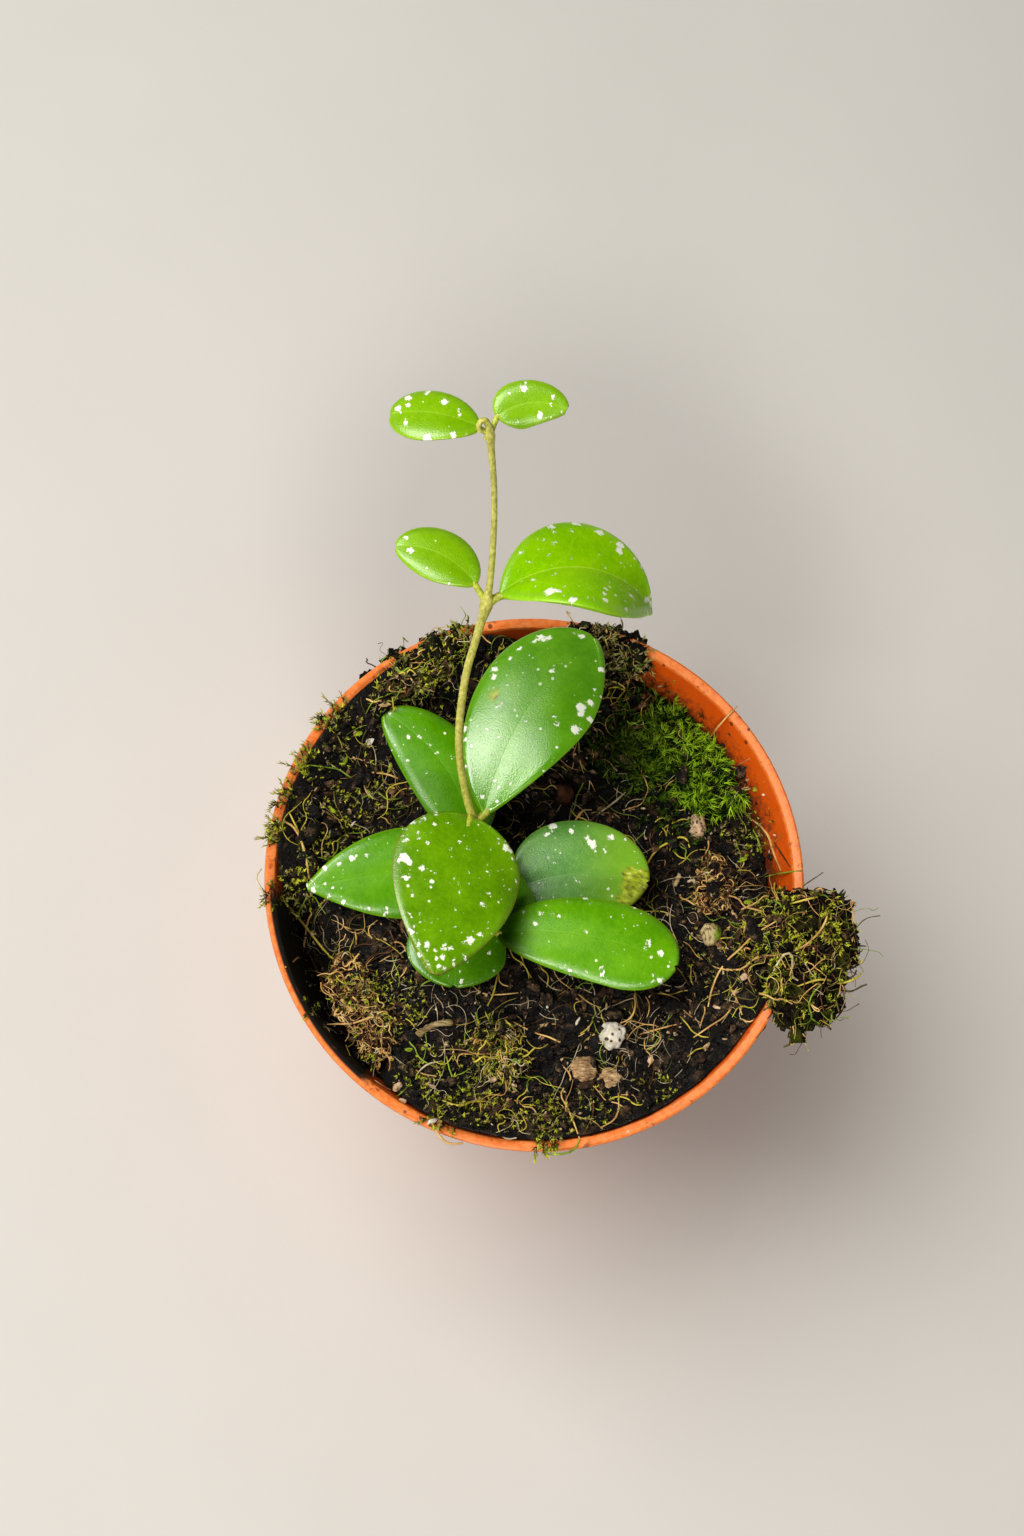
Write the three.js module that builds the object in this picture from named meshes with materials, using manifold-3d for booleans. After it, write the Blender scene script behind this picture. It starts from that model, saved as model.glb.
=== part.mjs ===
// Potted hoya: a young splashed hoya vine and a second, shorter cutting in a round nursery pot.
// Millimetres, +Z up. The origin is the centre of the pot's flat base, and +Y is the pot's far side.
import * as THREE from 'three';
import { mergeVertices } from 'three/addons/utils/BufferGeometryUtils.js';
import Module from 'manifold-3d';

const wasm = await Module();
wasm.setup();

// Clearance kept between pieces that touch on the real plant
const gap = 0.3;

// Pot: a thin injection-moulded wall with a folded lip and skirt
const rimRadius = 52.5;
const potHeight = 90;
const lipWidth = 2.2;
const lipThickness = 1.4;
const skirtDepth = 10;
const skirtThickness = 1.0;
const skirtDraft = 0.35;
const wallThickness = 1.2;
const floorThickness = 2.2;
const innerTopRadius = 49.8;
const innerFloorRadius = 35;
const baseChamfer = 1.3;
const lipChamfer = 0.5;
const drainHoles = 8;
const drainHoleRadius = 3;
const drainRingRadius = 24;
const drainHoleSegments = 12;
const potSegments = 48;

// Soil: its surface drops towards the back right and leaves a gap at the front left wall
const soilLevel = 79;
const soilSlopeX = -0.055;
const soilSlopeY = -0.04;
const soilRimRise = 2.2;
const soilSegments = 40;
const soilRows = 11;
const soilFieldRadius = 47.5;
const soilLumps = { count: 44, seed: 2, height: 1.3, smallest: 2.2, largest: 4.4 };
const wallGap = { angle: 207, halfAngle: 24, fade: 10, innerRadius: 39, outerRadius: 45, depth: 17 };
const soilMounds = [
  { x: 41, y: 23, spread: 11, rise: -3.4 },
  { x: 42, y: -13, spread: 7, rise: 4.5 },
  { x: 14, y: 42, spread: 8, rise: 2.5 },
  { x: -22, y: 40, spread: 10, rise: 2.5 },
  { x: 30, y: 28, spread: 8, rise: -1 },
];

// Stems: each internode is a run of points with its own radius
const stemSides = 7;
const stemStep = 4.2;
const knotDetail = 1;
const holeDepth = 1.5;
const vineRuns = [
  {
    radius: 1.0,
    points: [[-10.4, 2.0, 50], [-10.4, 2.2, 66], [-10.5, 2.6, 79], [-10.8, 3.9, 85], [-11.4, 5.8, 90.3],
      [-12.5, 9.2, 96.2], [-14.5, 13.2, 103]],
  },
  {
    radius: 0.78,
    points: [[-14.3, 12.9, 102.5], [-16, 18.2, 110.5], [-16.5, 21.6, 116], [-16.4, 25.8, 122],
      [-15.7, 30.6, 128.5], [-14.6, 34.2, 133.5], [-13.0, 39.0, 142]],
  },
  {
    radius: 0.56,
    points: [[-13.0, 39.0, 142], [-12.7, 42.2, 148], [-12.7, 45.6, 154], [-12.9, 48.9, 160],
      [-13.3, 52.2, 165.5], [-14.0, 54.7, 170.5], [-14.6, 57.2, 175]],
  },
  {
    radius: 0.5,
    points: [[-14.6, 57.2, 175], [-15.0, 58.2, 177], [-15.9, 58.6, 178.2], [-16.6, 57.8, 177.7],
      [-16.3, 57.0, 176.8]],
  },
];
const cuttingRuns = [
  {
    radius: 0.9,
    points: [[-14.2, 3.6, 52], [-14.2, 3.4, 68], [-13.9, 3.0, 79.5], [-12.7, 1.6, 84.5],
      [-12.3, -1.6, 87.8], [-13.8, -5.5, 90.8]],
  },
  { radius: 0.5, points: [[-13.8, -5.5, 90.8], [-14.1, -6.8, 92.0], [-14.0, -7.9, 93.2]] },
];
const vineNodes = [
  { at: [-11.4, 5.8, 90.3], radius: 1.4 },
  { at: [-12.5, 9.2, 96.2], radius: 1.5 },
  { at: [-13.0, 39.0, 142], radius: 1.4 },
  { at: [-14.6, 57.2, 175], radius: 1.0 },
];
const cuttingNodes = [
  { at: [-12.7, 1.6, 84.5], radius: 1.3 },
  { at: [-12.3, -1.6, 87.8], radius: 1.4 },
  { at: [-13.8, -5.5, 90.8], radius: 1.3 },
];

// Leaves: a midrib that starts at base, leaves it at heading and pitch, and turns by sweep and arch.
// Angles are in degrees. widest is where the blade is broadest; heel and tip round its two ends.
// cup bends both margins down, and roll tilts the blade about its midrib.
const bladeCentre = 1.3;
const bladeMargin = 0.8;
const bladeEndWidth = 0.7;
const midribSteps = 60;
const petioleSides = 6;
const petioleStep = 2;
const petioleReach = 0.12;
const petioleRunUp = 1;
const petioleSink = { heel: 0.4, inside: 0.5 };
const leaves = [
  {
    name: 'leaf_top_left', node: vineNodes[3], petiole: 0.5, columns: 4, rows: 9,
    base: [-16.6, 58.2, 176.2], heading: 159, pitch: 10, arch: -40, sweep: 22, roll: 13,
    length: 15, width: 9.6, widest: 0.6, heel: 1.7, tip: 2.0, cup: 12,
  },
  {
    name: 'leaf_top_right', node: vineNodes[3], petiole: 0.5, columns: 4, rows: 9,
    base: [-13.4, 60.2, 176.2], heading: 37, pitch: 16, arch: -25, sweep: -63, roll: 14,
    length: 12, width: 7.8, widest: 0.32, heel: 1.7, tip: 1.0, cup: 29,
  },
  {
    name: 'leaf_middle_left', node: vineNodes[2], petiole: 0.6, columns: 4, rows: 9,
    base: [-15.2, 42.2, 143], heading: 127, pitch: 8, arch: -22, sweep: 54, roll: 6,
    length: 16, width: 9.8, widest: 0.5, heel: 1.5, tip: 1.8, cup: 13,
  },
  {
    name: 'leaf_middle_right', node: vineNodes[2], petiole: 0.8, columns: 6, rows: 13,
    base: [-10.6, 40.3, 143.2], heading: 34, pitch: 28, arch: -88, sweep: -68, roll: -30,
    length: 33, width: 22.5, widest: 0.5, heel: 1.0, tip: 1.0, cup: -8,
  },
  {
    name: 'leaf_centre_large', node: vineNodes[1], petiole: 0.9, columns: 6, rows: 13,
    base: [-10.6, 10.8, 98], heading: 78, pitch: 16, arch: -33, sweep: -38, roll: -9,
    length: 42.5, width: 23, widest: 0.6, heel: 1.1, tip: 1.55, cup: 17,
  },
  {
    name: 'leaf_behind_stem', node: vineNodes[0], petiole: 0.8, columns: 6, rows: 12,
    base: [-12.4, 7.9, 90.6], heading: 102, pitch: 12, arch: -20, sweep: 48, roll: 1,
    length: 30.5, width: 15, widest: 0.4, heel: 2.1, tip: 1.7, cup: 21,
  },
  {
    name: 'leaf_hidden', node: vineNodes[0], petiole: 0.8, columns: 4, rows: 10,
    base: [-9.6, 4.4, 91], heading: -72, pitch: -3, arch: -6, sweep: 22, roll: 0,
    length: 18.5, width: 9.6, widest: 0.5, heel: 1.9, tip: 1.9, cup: 15,
  },
  {
    name: 'leaf_front_large', node: vineNodes[1], petiole: 0.9, columns: 6, rows: 13,
    base: [-13.5, 9.3, 100.1], heading: -102, pitch: 23, arch: -22, sweep: -1, roll: -12,
    length: 32.5, width: 24.8, widest: 0.32, heel: 2.1, tip: 1.1, cup: 14,
  },
  {
    name: 'leaf_left_pointed', node: cuttingNodes[1], petiole: 0.8, columns: 6, rows: 12,
    base: [-14.9, 1.6, 87.6], heading: -178, pitch: 9, arch: -20, sweep: 10, roll: -7,
    length: 29.8, width: 17.7, widest: 0.32, heel: 1.9, tip: 0.95, cup: 24,
  },
  {
    name: 'leaf_right_round', node: cuttingNodes[1], petiole: 0.8, columns: 6, rows: 12,
    base: [-3.6, -1.5, 86.5], heading: 23, pitch: 8, arch: -19, sweep: -39, roll: 4,
    length: 26.3, width: 21.2, widest: 0.42, heel: 1.9, tip: 1.2, cup: 17,
  },
  {
    name: 'leaf_right_long', node: cuttingNodes[2], petiole: 0.8, columns: 6, rows: 13,
    base: [-7.5, -11.4, 93], heading: 5, pitch: 10, arch: -17, sweep: -31, roll: -3,
    length: 34.7, width: 16.5, widest: 0.68, heel: 1.8, tip: 2.1, cup: 28,
  },
  {
    name: 'leaf_front_low', node: cuttingNodes[0], petiole: 0.8, columns: 6, rows: 11,
    base: [-12.9, -1.6, 84.3], heading: -104, pitch: 2, arch: -5, sweep: 11, roll: -3,
    length: 19, width: 19.2, widest: 0.66, heel: 1.2, tip: 1.7, cup: 11,
  },
];

// Moss and fibre: lumpy pads that lie on the soil and over the rim, with sprigs standing out of them.
// sprigSink is the share of a sprig's length that is rooted in its pad, sprigLevel the share of the
// pad's height that they start at, and sprigLean how far they turn upwards.
const padDetail = 2;
const padRelief = 0.16;
const reliefWaves = { count: 5, slowest: 3, fastest: 6 };
const sprigSides = 3;
const sprigRadius = 0.55;
const sprigSink = 0.22;
const sprigLevel = 0.1;
const sprigLean = 0.6;
const sprigStretch = { shortest: 0.7, longest: 1.3 };
const envelopeDepth = 40;
const envelopeClearance = 2 * gap;
const mossPads = [
  {
    name: 'moss_clod_overhang', colour: 'moss', seed: 3, turn: -6, sprigs: 26, sprigLength: 3.4,
    centre: [51.5, -14.4, 89.0], radii: [11.4, 13.2, 5.6],
  },
  {
    name: 'moss_mat_back', colour: 'moss', seed: 5, turn: -16, sprigs: 22, sprigLength: 3.2,
    centre: [13.2, 45.9, 88.0], radii: [11, 6.4, 4.9],
  },
  {
    name: 'moss_mat_back_left', colour: 'moss', seed: 8, turn: 34, sprigs: 24, sprigLength: 2.8,
    centre: [-24.5, 42.2, 88.0], radii: [13.5, 6.7, 4.3],
  },
  {
    name: 'star_moss_cushion', colour: 'starMoss', seed: 11, turn: -33, sprigs: 32, sprigLength: 4.6,
    centre: [29.5, 27.5, 76.4], radii: [16, 9, 4.4],
  },
  {
    name: 'fibre_mat_left', colour: 'fibre', seed: 14, turn: -70, sprigs: 12, sprigLength: 3.0,
    centre: [-33.5, -24.5, 83.0], radii: [10.5, 4.4, 3.2],
  },
  {
    name: 'moss_tangle_front', colour: 'moss', seed: 17, turn: -80, sprigs: 14, sprigLength: 3.2,
    centre: [-7.6, -35, 82.6], radii: [9.5, 4.6, 3.6],
  },
  {
    name: 'coir_lump', colour: 'fibre', seed: 21, turn: 62, sprigs: 8, sprigLength: 1.6,
    centre: [36.6, 0.2, 78.2], radii: [7, 4.6, 3.6],
  },
];

// Loose bits on the soil surface: rounded grains, flat chips and one twig. Each one lies with its
// middle above the soil by the given share of its height or by its lift, and is bedded into it.
const grainDetail = 1;
const grainRelief = 0.12;
const grainLift = 0.6;
const grains = [
  {
    name: 'perlite_grain', colour: 'perlite', seed: 31,
    at: [15.4, -29.4], radii: [2.7, 2.5, 2.1], turn: 20,
  },
  { name: 'pebble', colour: 'fibre', seed: 33, at: [6.4, 19.0], radii: [2.0, 2.4, 1.7], turn: 10 },
  { name: 'pale_crumb', colour: 'perlite', seed: 35, at: [33.7, 13.6], radii: [1.6, 2.6, 1.4], turn: -8 },
  { name: 'seed_husk', colour: 'straw', seed: 37, at: [33.6, -24.2], radii: [0.9, 1.6, 0.9], turn: 26 },
];
const chipThickness = 1.4;
const chipLift = 1.1;
const chips = [
  { name: 'bark_chip_left', colour: 'bark', at: [9.6, -36.2], size: [3.9, 4.5], turn: 14, tilt: 16 },
  { name: 'bark_chip_right', colour: 'bark', at: [15.0, -38.3], size: [4.8, 4.2], turn: -30, tilt: -12 },
  { name: 'dry_leaf_flake', colour: 'flake', at: [35.4, -9.4], size: [3.3, 4.2], turn: 8, tilt: 20 },
];
const twig = {
  name: 'twig', from: [-15.8, -27.4], to: [-22.8, -30.0], bow: 0.9,
  radius: 0.6, lift: 0.9, sides: 6, step: 2,
};

const colours = {
  pot: { color: 0xe2601f, roughness: 0.5 },
  soil: { color: 0x1d1712, roughness: 1.0 },
  stem: { color: 0x8f9a35, roughness: 0.5 },
  leaf: { color: 0x4f9a12, roughness: 0.3 },
  moss: { color: 0x6d7a2a, roughness: 0.95 },
  starMoss: { color: 0x4f7d14, roughness: 0.9 },
  fibre: { color: 0x6b4a2c, roughness: 1.0 },
  perlite: { color: 0xe9e4d6, roughness: 0.9 },
  bark: { color: 0xb69a72, roughness: 0.9 },
  straw: { color: 0xd6c795, roughness: 0.8 },
  flake: { color: 0x9db06a, roughness: 0.8 },
};

const radians = THREE.MathUtils.degToRad;
const smooth = THREE.MathUtils.smoothstep;

// Seeded random numbers from 0 to 1
function randomSource(seed) {
  let state = seed * 7919;
  return () => {
    state = (state * 1103515245 + 12345) % 2147483648;
    return state / 2147483648;
  };
}

// A closed three.js geometry as a solid that can be joined and cut
function solid(geometry) {
  const bare = new THREE.BufferGeometry();
  bare.setAttribute('position', geometry.getAttribute('position').clone());
  bare.setIndex(geometry.index);
  const merged = mergeVertices(bare, 1e-4);
  return new wasm.Manifold(new wasm.Mesh({
    numProp: 3,
    vertProperties: Float32Array.from(merged.getAttribute('position').array),
    triVerts: Uint32Array.from(merged.index.array),
  }));
}

function geometryOf(manifold) {
  const mesh = manifold.getMesh();
  const geometry = new THREE.BufferGeometry();
  geometry.setAttribute('position', new THREE.BufferAttribute(Float32Array.from(mesh.vertProperties), 3));
  geometry.setIndex(new THREE.BufferAttribute(Uint32Array.from(mesh.triVerts), 1));
  return geometry;
}

// The largest body of a cut solid, without the loose scraps
function mainBody(manifold) {
  const bodies = manifold.decompose();
  return bodies.reduce((best, body) => (body.volume() > best.volume() ? body : best));
}

function join(pieces) {
  return pieces.reduce((whole, piece) => whole.add(piece));
}

// A solid of revolution about Z from [radius, height] pairs
function turned(profile, segments) {
  const points = profile.map(([radius, height]) => new THREE.Vector2(radius, height));
  return new THREE.LatheGeometry(points, segments).rotateX(Math.PI / 2);
}

// A round tube of one radius along a smooth curve through the points
function tube(points, radius, sides, step) {
  const path = new THREE.CatmullRomCurve3(points.map((point) => new THREE.Vector3(...point)));
  const section = new THREE.Shape();
  section.absarc(0, 0, radius, 0, 2 * Math.PI);
  const outline = new THREE.Shape(section.getSpacedPoints(sides).slice(0, sides));
  const steps = Math.max(4, Math.round(path.getLength() / step));
  return solid(new THREE.ExtrudeGeometry(outline, { steps, extrudePath: path }));
}

function innerRadius(height) {
  const share = (height - floorThickness) / (potHeight - floorThickness);
  return innerFloorRadius + (innerTopRadius - innerFloorRadius) * share;
}

function pot() {
  const lipUnderside = potHeight - lipThickness;
  const skirtInner = rimRadius - skirtThickness;
  const body = solid(turned([
    [0, 0],
    [innerFloorRadius + wallThickness - baseChamfer, 0],
    [innerFloorRadius + wallThickness, baseChamfer],
    [innerRadius(lipUnderside) + wallThickness, lipUnderside],
    [skirtInner, lipUnderside],
    [skirtInner - skirtDraft, potHeight - skirtDepth],
    [rimRadius - skirtDraft, potHeight - skirtDepth],
    [rimRadius, potHeight - lipChamfer],
    [rimRadius - lipChamfer, potHeight],
    [rimRadius - lipWidth, potHeight],
    [innerTopRadius, potHeight - lipChamfer],
    [innerFloorRadius, floorThickness],
    [0, floorThickness],
  ], potSegments));
  const depth = 3 * floorThickness;
  const drill = new THREE.CylinderGeometry(drainHoleRadius, drainHoleRadius, depth, drainHoleSegments);
  drill.rotateX(Math.PI / 2);
  const holes = Array.from({ length: drainHoles }, (_, index) => {
    const angle = (2 * Math.PI * index) / drainHoles;
    const x = drainRingRadius * Math.cos(angle);
    return solid(drill.clone().translate(x, drainRingRadius * Math.sin(angle), 0));
  });
  return body.subtract(join(holes));
}

// The ring that the pot's wall, lip and skirt fill near the rim, with clearance all round
function potEnvelope() {
  const low = potHeight - envelopeDepth;
  const inside = (height) => innerRadius(height) - envelopeClearance;
  return solid(turned([
    [inside(low), low],
    [rimRadius + gap, low],
    [rimRadius + gap, potHeight + gap],
    [inside(potHeight), potHeight + gap],
    [inside(low), low],
  ], potSegments));
}

function scatterLumps() {
  const random = randomSource(soilLumps.seed);
  return Array.from({ length: soilLumps.count }, () => {
    const radius = soilFieldRadius * Math.sqrt(random());
    const angle = 2 * Math.PI * random();
    return {
      x: radius * Math.cos(angle), y: radius * Math.sin(angle),
      spread: THREE.MathUtils.lerp(soilLumps.smallest, soilLumps.largest, random()),
      rise: soilLumps.height * (2 * random() - 1),
    };
  });
}

const lumps = scatterLumps();

function soilHeight(x, y) {
  const radius = Math.hypot(x, y);
  let height = soilLevel + soilSlopeX * x + soilSlopeY * y;
  height += soilRimRise * (radius / innerTopRadius) ** 2;
  for (const mound of [...soilMounds, ...lumps]) {
    const away = (x - mound.x) ** 2 + (y - mound.y) ** 2;
    height += mound.rise * Math.exp(-away / (2 * mound.spread ** 2));
  }
  const turn = THREE.MathUtils.radToDeg(Math.atan2(y, x)) - wallGap.angle;
  const offAngle = Math.abs(THREE.MathUtils.euclideanModulo(turn + 180, 360) - 180);
  const along = 1 - smooth(offAngle, wallGap.halfAngle - wallGap.fade, wallGap.halfAngle);
  return height - wallGap.depth * along * smooth(radius, wallGap.innerRadius, wallGap.outerRadius);
}

// The soil fills the pot below a relief surface, and its side follows the tapered wall
function soilBody() {
  const floor = floorThickness + gap;
  const profile = [[0, floor], [innerRadius(floor) - gap, floor]];
  for (let row = soilRows; row >= 0; row -= 1) {
    profile.push([Math.sin((Math.PI / 2) * (row / soilRows)), soilLevel]);
  }
  const geometry = turned(profile, soilSegments);
  const position = geometry.getAttribute('position');
  for (let index = 0; index < position.count; index += 1) {
    if (index % profile.length < 2) continue;
    const share = Math.hypot(position.getX(index), position.getY(index));
    const angle = Math.atan2(position.getY(index), position.getX(index));
    const edgeHeight = soilHeight(soilFieldRadius * Math.cos(angle), soilFieldRadius * Math.sin(angle));
    const radius = share * (innerRadius(edgeHeight) - gap);
    const x = radius * Math.cos(angle);
    const y = radius * Math.sin(angle);
    const onEdge = index % profile.length === 2;
    position.setXYZ(index, x, y, onEdge ? edgeHeight : soilHeight(x, y));
  }
  return solid(geometry);
}

function stem(runs, nodes, extra) {
  const tubes = runs.map((run) => tube(run.points, run.radius + extra, stemSides, stemStep));
  const swellings = nodes.map((node) => {
    const ball = new THREE.IcosahedronGeometry(node.radius + extra, knotDetail);
    return solid(ball.translate(...node.at));
  });
  return join([...tubes, ...swellings]);
}

// The same runs with their rooted end set deeper, for the holes that the stems stand in
function deepened(runs) {
  const [root, ...rest] = runs;
  const [x, y, z] = root.points[0];
  return [{ radius: root.radius, points: [[x, y, z - holeDepth], ...root.points] }, ...rest];
}

// The midrib of a leaf: its points with the directions along, across and out of the blade
function midrib(leaf, steps) {
  const frames = [];
  const point = new THREE.Vector3(...leaf.base);
  const direction = (share) => {
    const heading = radians(leaf.heading + leaf.sweep * share);
    const pitch = radians(leaf.pitch + leaf.arch * share);
    return { heading, along: new THREE.Vector3(
      Math.cos(heading) * Math.cos(pitch), Math.sin(heading) * Math.cos(pitch), Math.sin(pitch)) };
  };
  for (let step = 0; step <= steps; step += 1) {
    const share = step / steps;
    const { heading, along } = direction(share);
    const level = new THREE.Vector3(Math.sin(heading), -Math.cos(heading), 0);
    const across = level.clone().applyAxisAngle(along, radians(leaf.roll));
    const out = across.clone().cross(along);
    frames.push({ point: point.clone(), along, across, out });
    point.addScaledVector(direction(share + 0.5 / steps).along, leaf.length / steps);
  }
  return frames;
}

function halfWidth(leaf, share) {
  const towardsHeel = share < leaf.widest;
  const away = towardsHeel ? 1 - share / leaf.widest : (share - leaf.widest) / (1 - leaf.widest);
  const roundness = towardsHeel ? leaf.heel : leaf.tip;
  const width = (leaf.width / 2) * Math.max(0, 1 - away * away) ** (1 / roundness);
  return Math.max(width, bladeEndWidth / 2);
}

// A closed thin sheet: the same grid on both faces, split into triangles alike, and a rim between them
function closedSheet(columns, rows, place) {
  const positions = [];
  const triangles = [];
  const corner = (column, row, face) => 2 * (row * (columns + 1) + column) + face;
  for (let row = 0; row <= rows; row += 1) {
    for (let column = 0; column <= columns; column += 1) {
      for (const face of [0, 1]) positions.push(...place(column, row, face).toArray());
    }
  }
  const quad = (a, b, c, d) => triangles.push(a, b, c, a, c, d);
  const wall = (from, to) => {
    quad(corner(...from, 0), corner(...to, 0), corner(...to, 1), corner(...from, 1));
  };
  for (let row = 0; row < rows; row += 1) {
    for (let column = 0; column < columns; column += 1) {
      const ring = [[column, row], [column + 1, row], [column + 1, row + 1], [column, row + 1]];
      const [a, b, c, d] = ring.map(([i, j]) => corner(i, j, 1));
      quad(a, b, c, d);
      triangles.push(a - 1, c - 1, b - 1, a - 1, d - 1, c - 1);
    }
  }
  for (let row = 0; row < rows; row += 1) {
    wall([0, row + 1], [0, row]);
    wall([columns, row], [columns, row + 1]);
  }
  for (let column = 0; column < columns; column += 1) {
    wall([column, 0], [column + 1, 0]);
    wall([column + 1, rows], [column, rows]);
  }
  const geometry = new THREE.BufferGeometry();
  geometry.setAttribute('position', new THREE.Float32BufferAttribute(positions, 3));
  geometry.setIndex(triangles);
  return geometry;
}

function leafFrame(frames, share) {
  return frames[Math.round(share * midribSteps)];
}

function blade(leaf, frames) {
  const bend = radians(leaf.cup) / (leaf.width / 2);
  const corner = (column, row, face) => {
    const share = (1 - Math.cos((Math.PI * row) / leaf.rows)) / 2;
    const { point, across, out } = leafFrame(frames, share);
    const side = (2 * column) / leaf.columns - 1;
    const reach = side * halfWidth(leaf, Math.round(share * midribSteps) / midribSteps);
    const thickness = THREE.MathUtils.lerp(bladeCentre, bladeMargin, side * side);
    return point.clone()
      .addScaledVector(across, Math.sin(bend * reach) / bend)
      .addScaledVector(out, -(1 - Math.cos(bend * reach)) / bend + (face - 0.5) * thickness);
  };
  return solid(closedSheet(leaf.columns, leaf.rows, corner));
}

// The leaf stalk leaves the stem's node, bends to the blade and runs in under its midrib
function petiole(leaf, frames) {
  const node = new THREE.Vector3(...leaf.node.at);
  const heel = leafFrame(frames, 0);
  const inside = leafFrame(frames, petioleReach);
  const start = heel.point.clone().addScaledVector(heel.along, -petioleRunUp).sub(node);
  start.setLength(leaf.node.radius + gap);
  const points = [
    node.add(start),
    heel.point.clone().addScaledVector(heel.out, -petioleSink.heel * leaf.petiole),
    inside.point.clone().addScaledVector(inside.out, -petioleSink.inside * leaf.petiole),
  ];
  return tube(points.map((point) => point.toArray()), leaf.petiole, petioleSides, petioleStep);
}

function leafBody(leaf, stems) {
  const frames = midrib(leaf, midribSteps);
  return mainBody(blade(leaf, frames).add(petiole(leaf, frames)).subtract(stems));
}

// A random number from -0.5 to 0.5
function centred(random) {
  return random() - 0.5;
}

// A ball stretched to the given radii, turned about Z, with a gentle lumpy relief
function lumpyBall(radii, turn, detail, relief, random) {
  const ball = new THREE.IcosahedronGeometry(1, detail);
  const waves = Array.from({ length: reliefWaves.count }, () => {
    const way = new THREE.Vector3(centred(random), centred(random), centred(random));
    way.setLength(THREE.MathUtils.lerp(reliefWaves.slowest, reliefWaves.fastest, random()));
    return { way, phase: 2 * Math.PI * random() };
  });
  const position = ball.getAttribute('position');
  const point = new THREE.Vector3();
  for (let index = 0; index < position.count; index += 1) {
    point.fromBufferAttribute(position, index);
    const swell = waves.reduce((sum, wave) => sum + Math.sin(point.dot(wave.way) + wave.phase), 0);
    point.multiplyScalar(1 + (relief * swell) / 2);
    position.setXYZ(index, ...point.toArray());
  }
  return ball.scale(...radii).rotateZ(radians(turn));
}

function mossPad(pad, ground) {
  const random = randomSource(pad.seed);
  const core = lumpyBall(pad.radii, pad.turn, padDetail, padRelief, random);
  const position = core.getAttribute('position');
  core.computeVertexNormals();
  const normal = core.getAttribute('normal');
  const up = new THREE.Vector3(0, 1, 0);
  const sprigs = [];
  while (sprigs.length < pad.sprigs) {
    const index = Math.floor(random() * position.count);
    const foot = new THREE.Vector3().fromBufferAttribute(position, index);
    const way = new THREE.Vector3().fromBufferAttribute(normal, index);
    way.add(new THREE.Vector3(centred(random), centred(random), sprigLean * random())).normalize();
    if (foot.z < sprigLevel * pad.radii[2]) continue;
    const stretch = THREE.MathUtils.lerp(sprigStretch.shortest, sprigStretch.longest, random());
    const length = stretch * pad.sprigLength;
    const sprig = new THREE.ConeGeometry(sprigRadius, length, sprigSides);
    sprig.translate(0, (0.5 - sprigSink) * length, 0);
    sprig.applyQuaternion(new THREE.Quaternion().setFromUnitVectors(up, way));
    sprigs.push(solid(sprig.translate(...foot.toArray())));
  }
  const whole = join([solid(core), ...sprigs]).translate(pad.centre);
  return mainBody(whole.subtract(ground));
}

function grain(item, ground) {
  const ball = lumpyBall(item.radii, item.turn, grainDetail, grainRelief, randomSource(item.seed));
  const [x, y] = item.at;
  ball.translate(x, y, soilHeight(x, y) + grainLift * item.radii[2]);
  return mainBody(solid(ball).subtract(ground));
}

// A flat broken chip with a six-cornered outline
function chip(item, ground) {
  const [width, length] = item.size;
  const corners = [[-0.5, -0.32], [-0.1, -0.5], [0.42, -0.4], [0.5, 0.28], [0.08, 0.5], [-0.44, 0.36]];
  const outline = new THREE.Shape(corners.map(([x, y]) => new THREE.Vector2(x * width, y * length)));
  const plate = new THREE.ExtrudeGeometry(outline, { depth: chipThickness, bevelEnabled: false });
  plate.translate(0, 0, -chipThickness / 2).rotateY(radians(item.tilt)).rotateZ(radians(item.turn));
  const [x, y] = item.at;
  plate.translate(x, y, soilHeight(x, y) + chipLift);
  return mainBody(solid(plate).subtract(ground));
}

function twigBody(ground) {
  const [fromX, fromY] = twig.from;
  const [toX, toY] = twig.to;
  const points = [0, 0.5, 1].map((share) => {
    const x = THREE.MathUtils.lerp(fromX, toX, share);
    const y = THREE.MathUtils.lerp(fromY, toY, share) + twig.bow * Math.sin(Math.PI * share);
    return [x, y, soilHeight(x, y) + twig.lift];
  });
  return mainBody(tube(points, twig.radius, twig.sides, twig.step).subtract(ground));
}

const plant = new THREE.Group();

function place(name, manifold, colour) {
  const mesh = new THREE.Mesh(geometryOf(manifold), new THREE.MeshStandardMaterial(colours[colour]));
  mesh.name = name;
  plant.add(mesh);
}

const stemHoles = stem(deepened(vineRuns), [], gap).add(stem(deepened(cuttingRuns), [], gap));
const stemSpace = stem(vineRuns, vineNodes, gap).add(stem(cuttingRuns, cuttingNodes, gap));
const soil = soilBody();
const ground = join([soil.translate([0, 0, gap]), potEnvelope(), stemHoles]);

place('pot', pot(), 'pot');
place('potting_soil', mainBody(soil.subtract(stemHoles)), 'soil');
place('vine_stem', stem(vineRuns, vineNodes, 0), 'stem');
place('cutting_stem', stem(cuttingRuns, cuttingNodes, 0), 'stem');
for (const leaf of leaves) place(leaf.name, leafBody(leaf, stemSpace), 'leaf');
for (const pad of mossPads) place(pad.name, mossPad(pad, ground), pad.colour);
for (const item of grains) place(item.name, grain(item, ground), item.colour);
for (const item of chips) place(item.name, chip(item, ground), item.colour);
place(twig.name, twigBody(ground), 'bark');

export default plant;
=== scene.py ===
"""Potted hoya: a young splashed vine and a shorter cutting in a nursery pot of mossy potting mix.

Sizes are in millimetres, and MM turns them into metres. +Y is the pot's far side, +X its right side.
"""

import math
import random
from typing import NamedTuple

import bmesh
import bpy
import numpy as np
from mathutils import Matrix, Vector, noise
from mathutils.bvhtree import BVHTree


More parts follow.
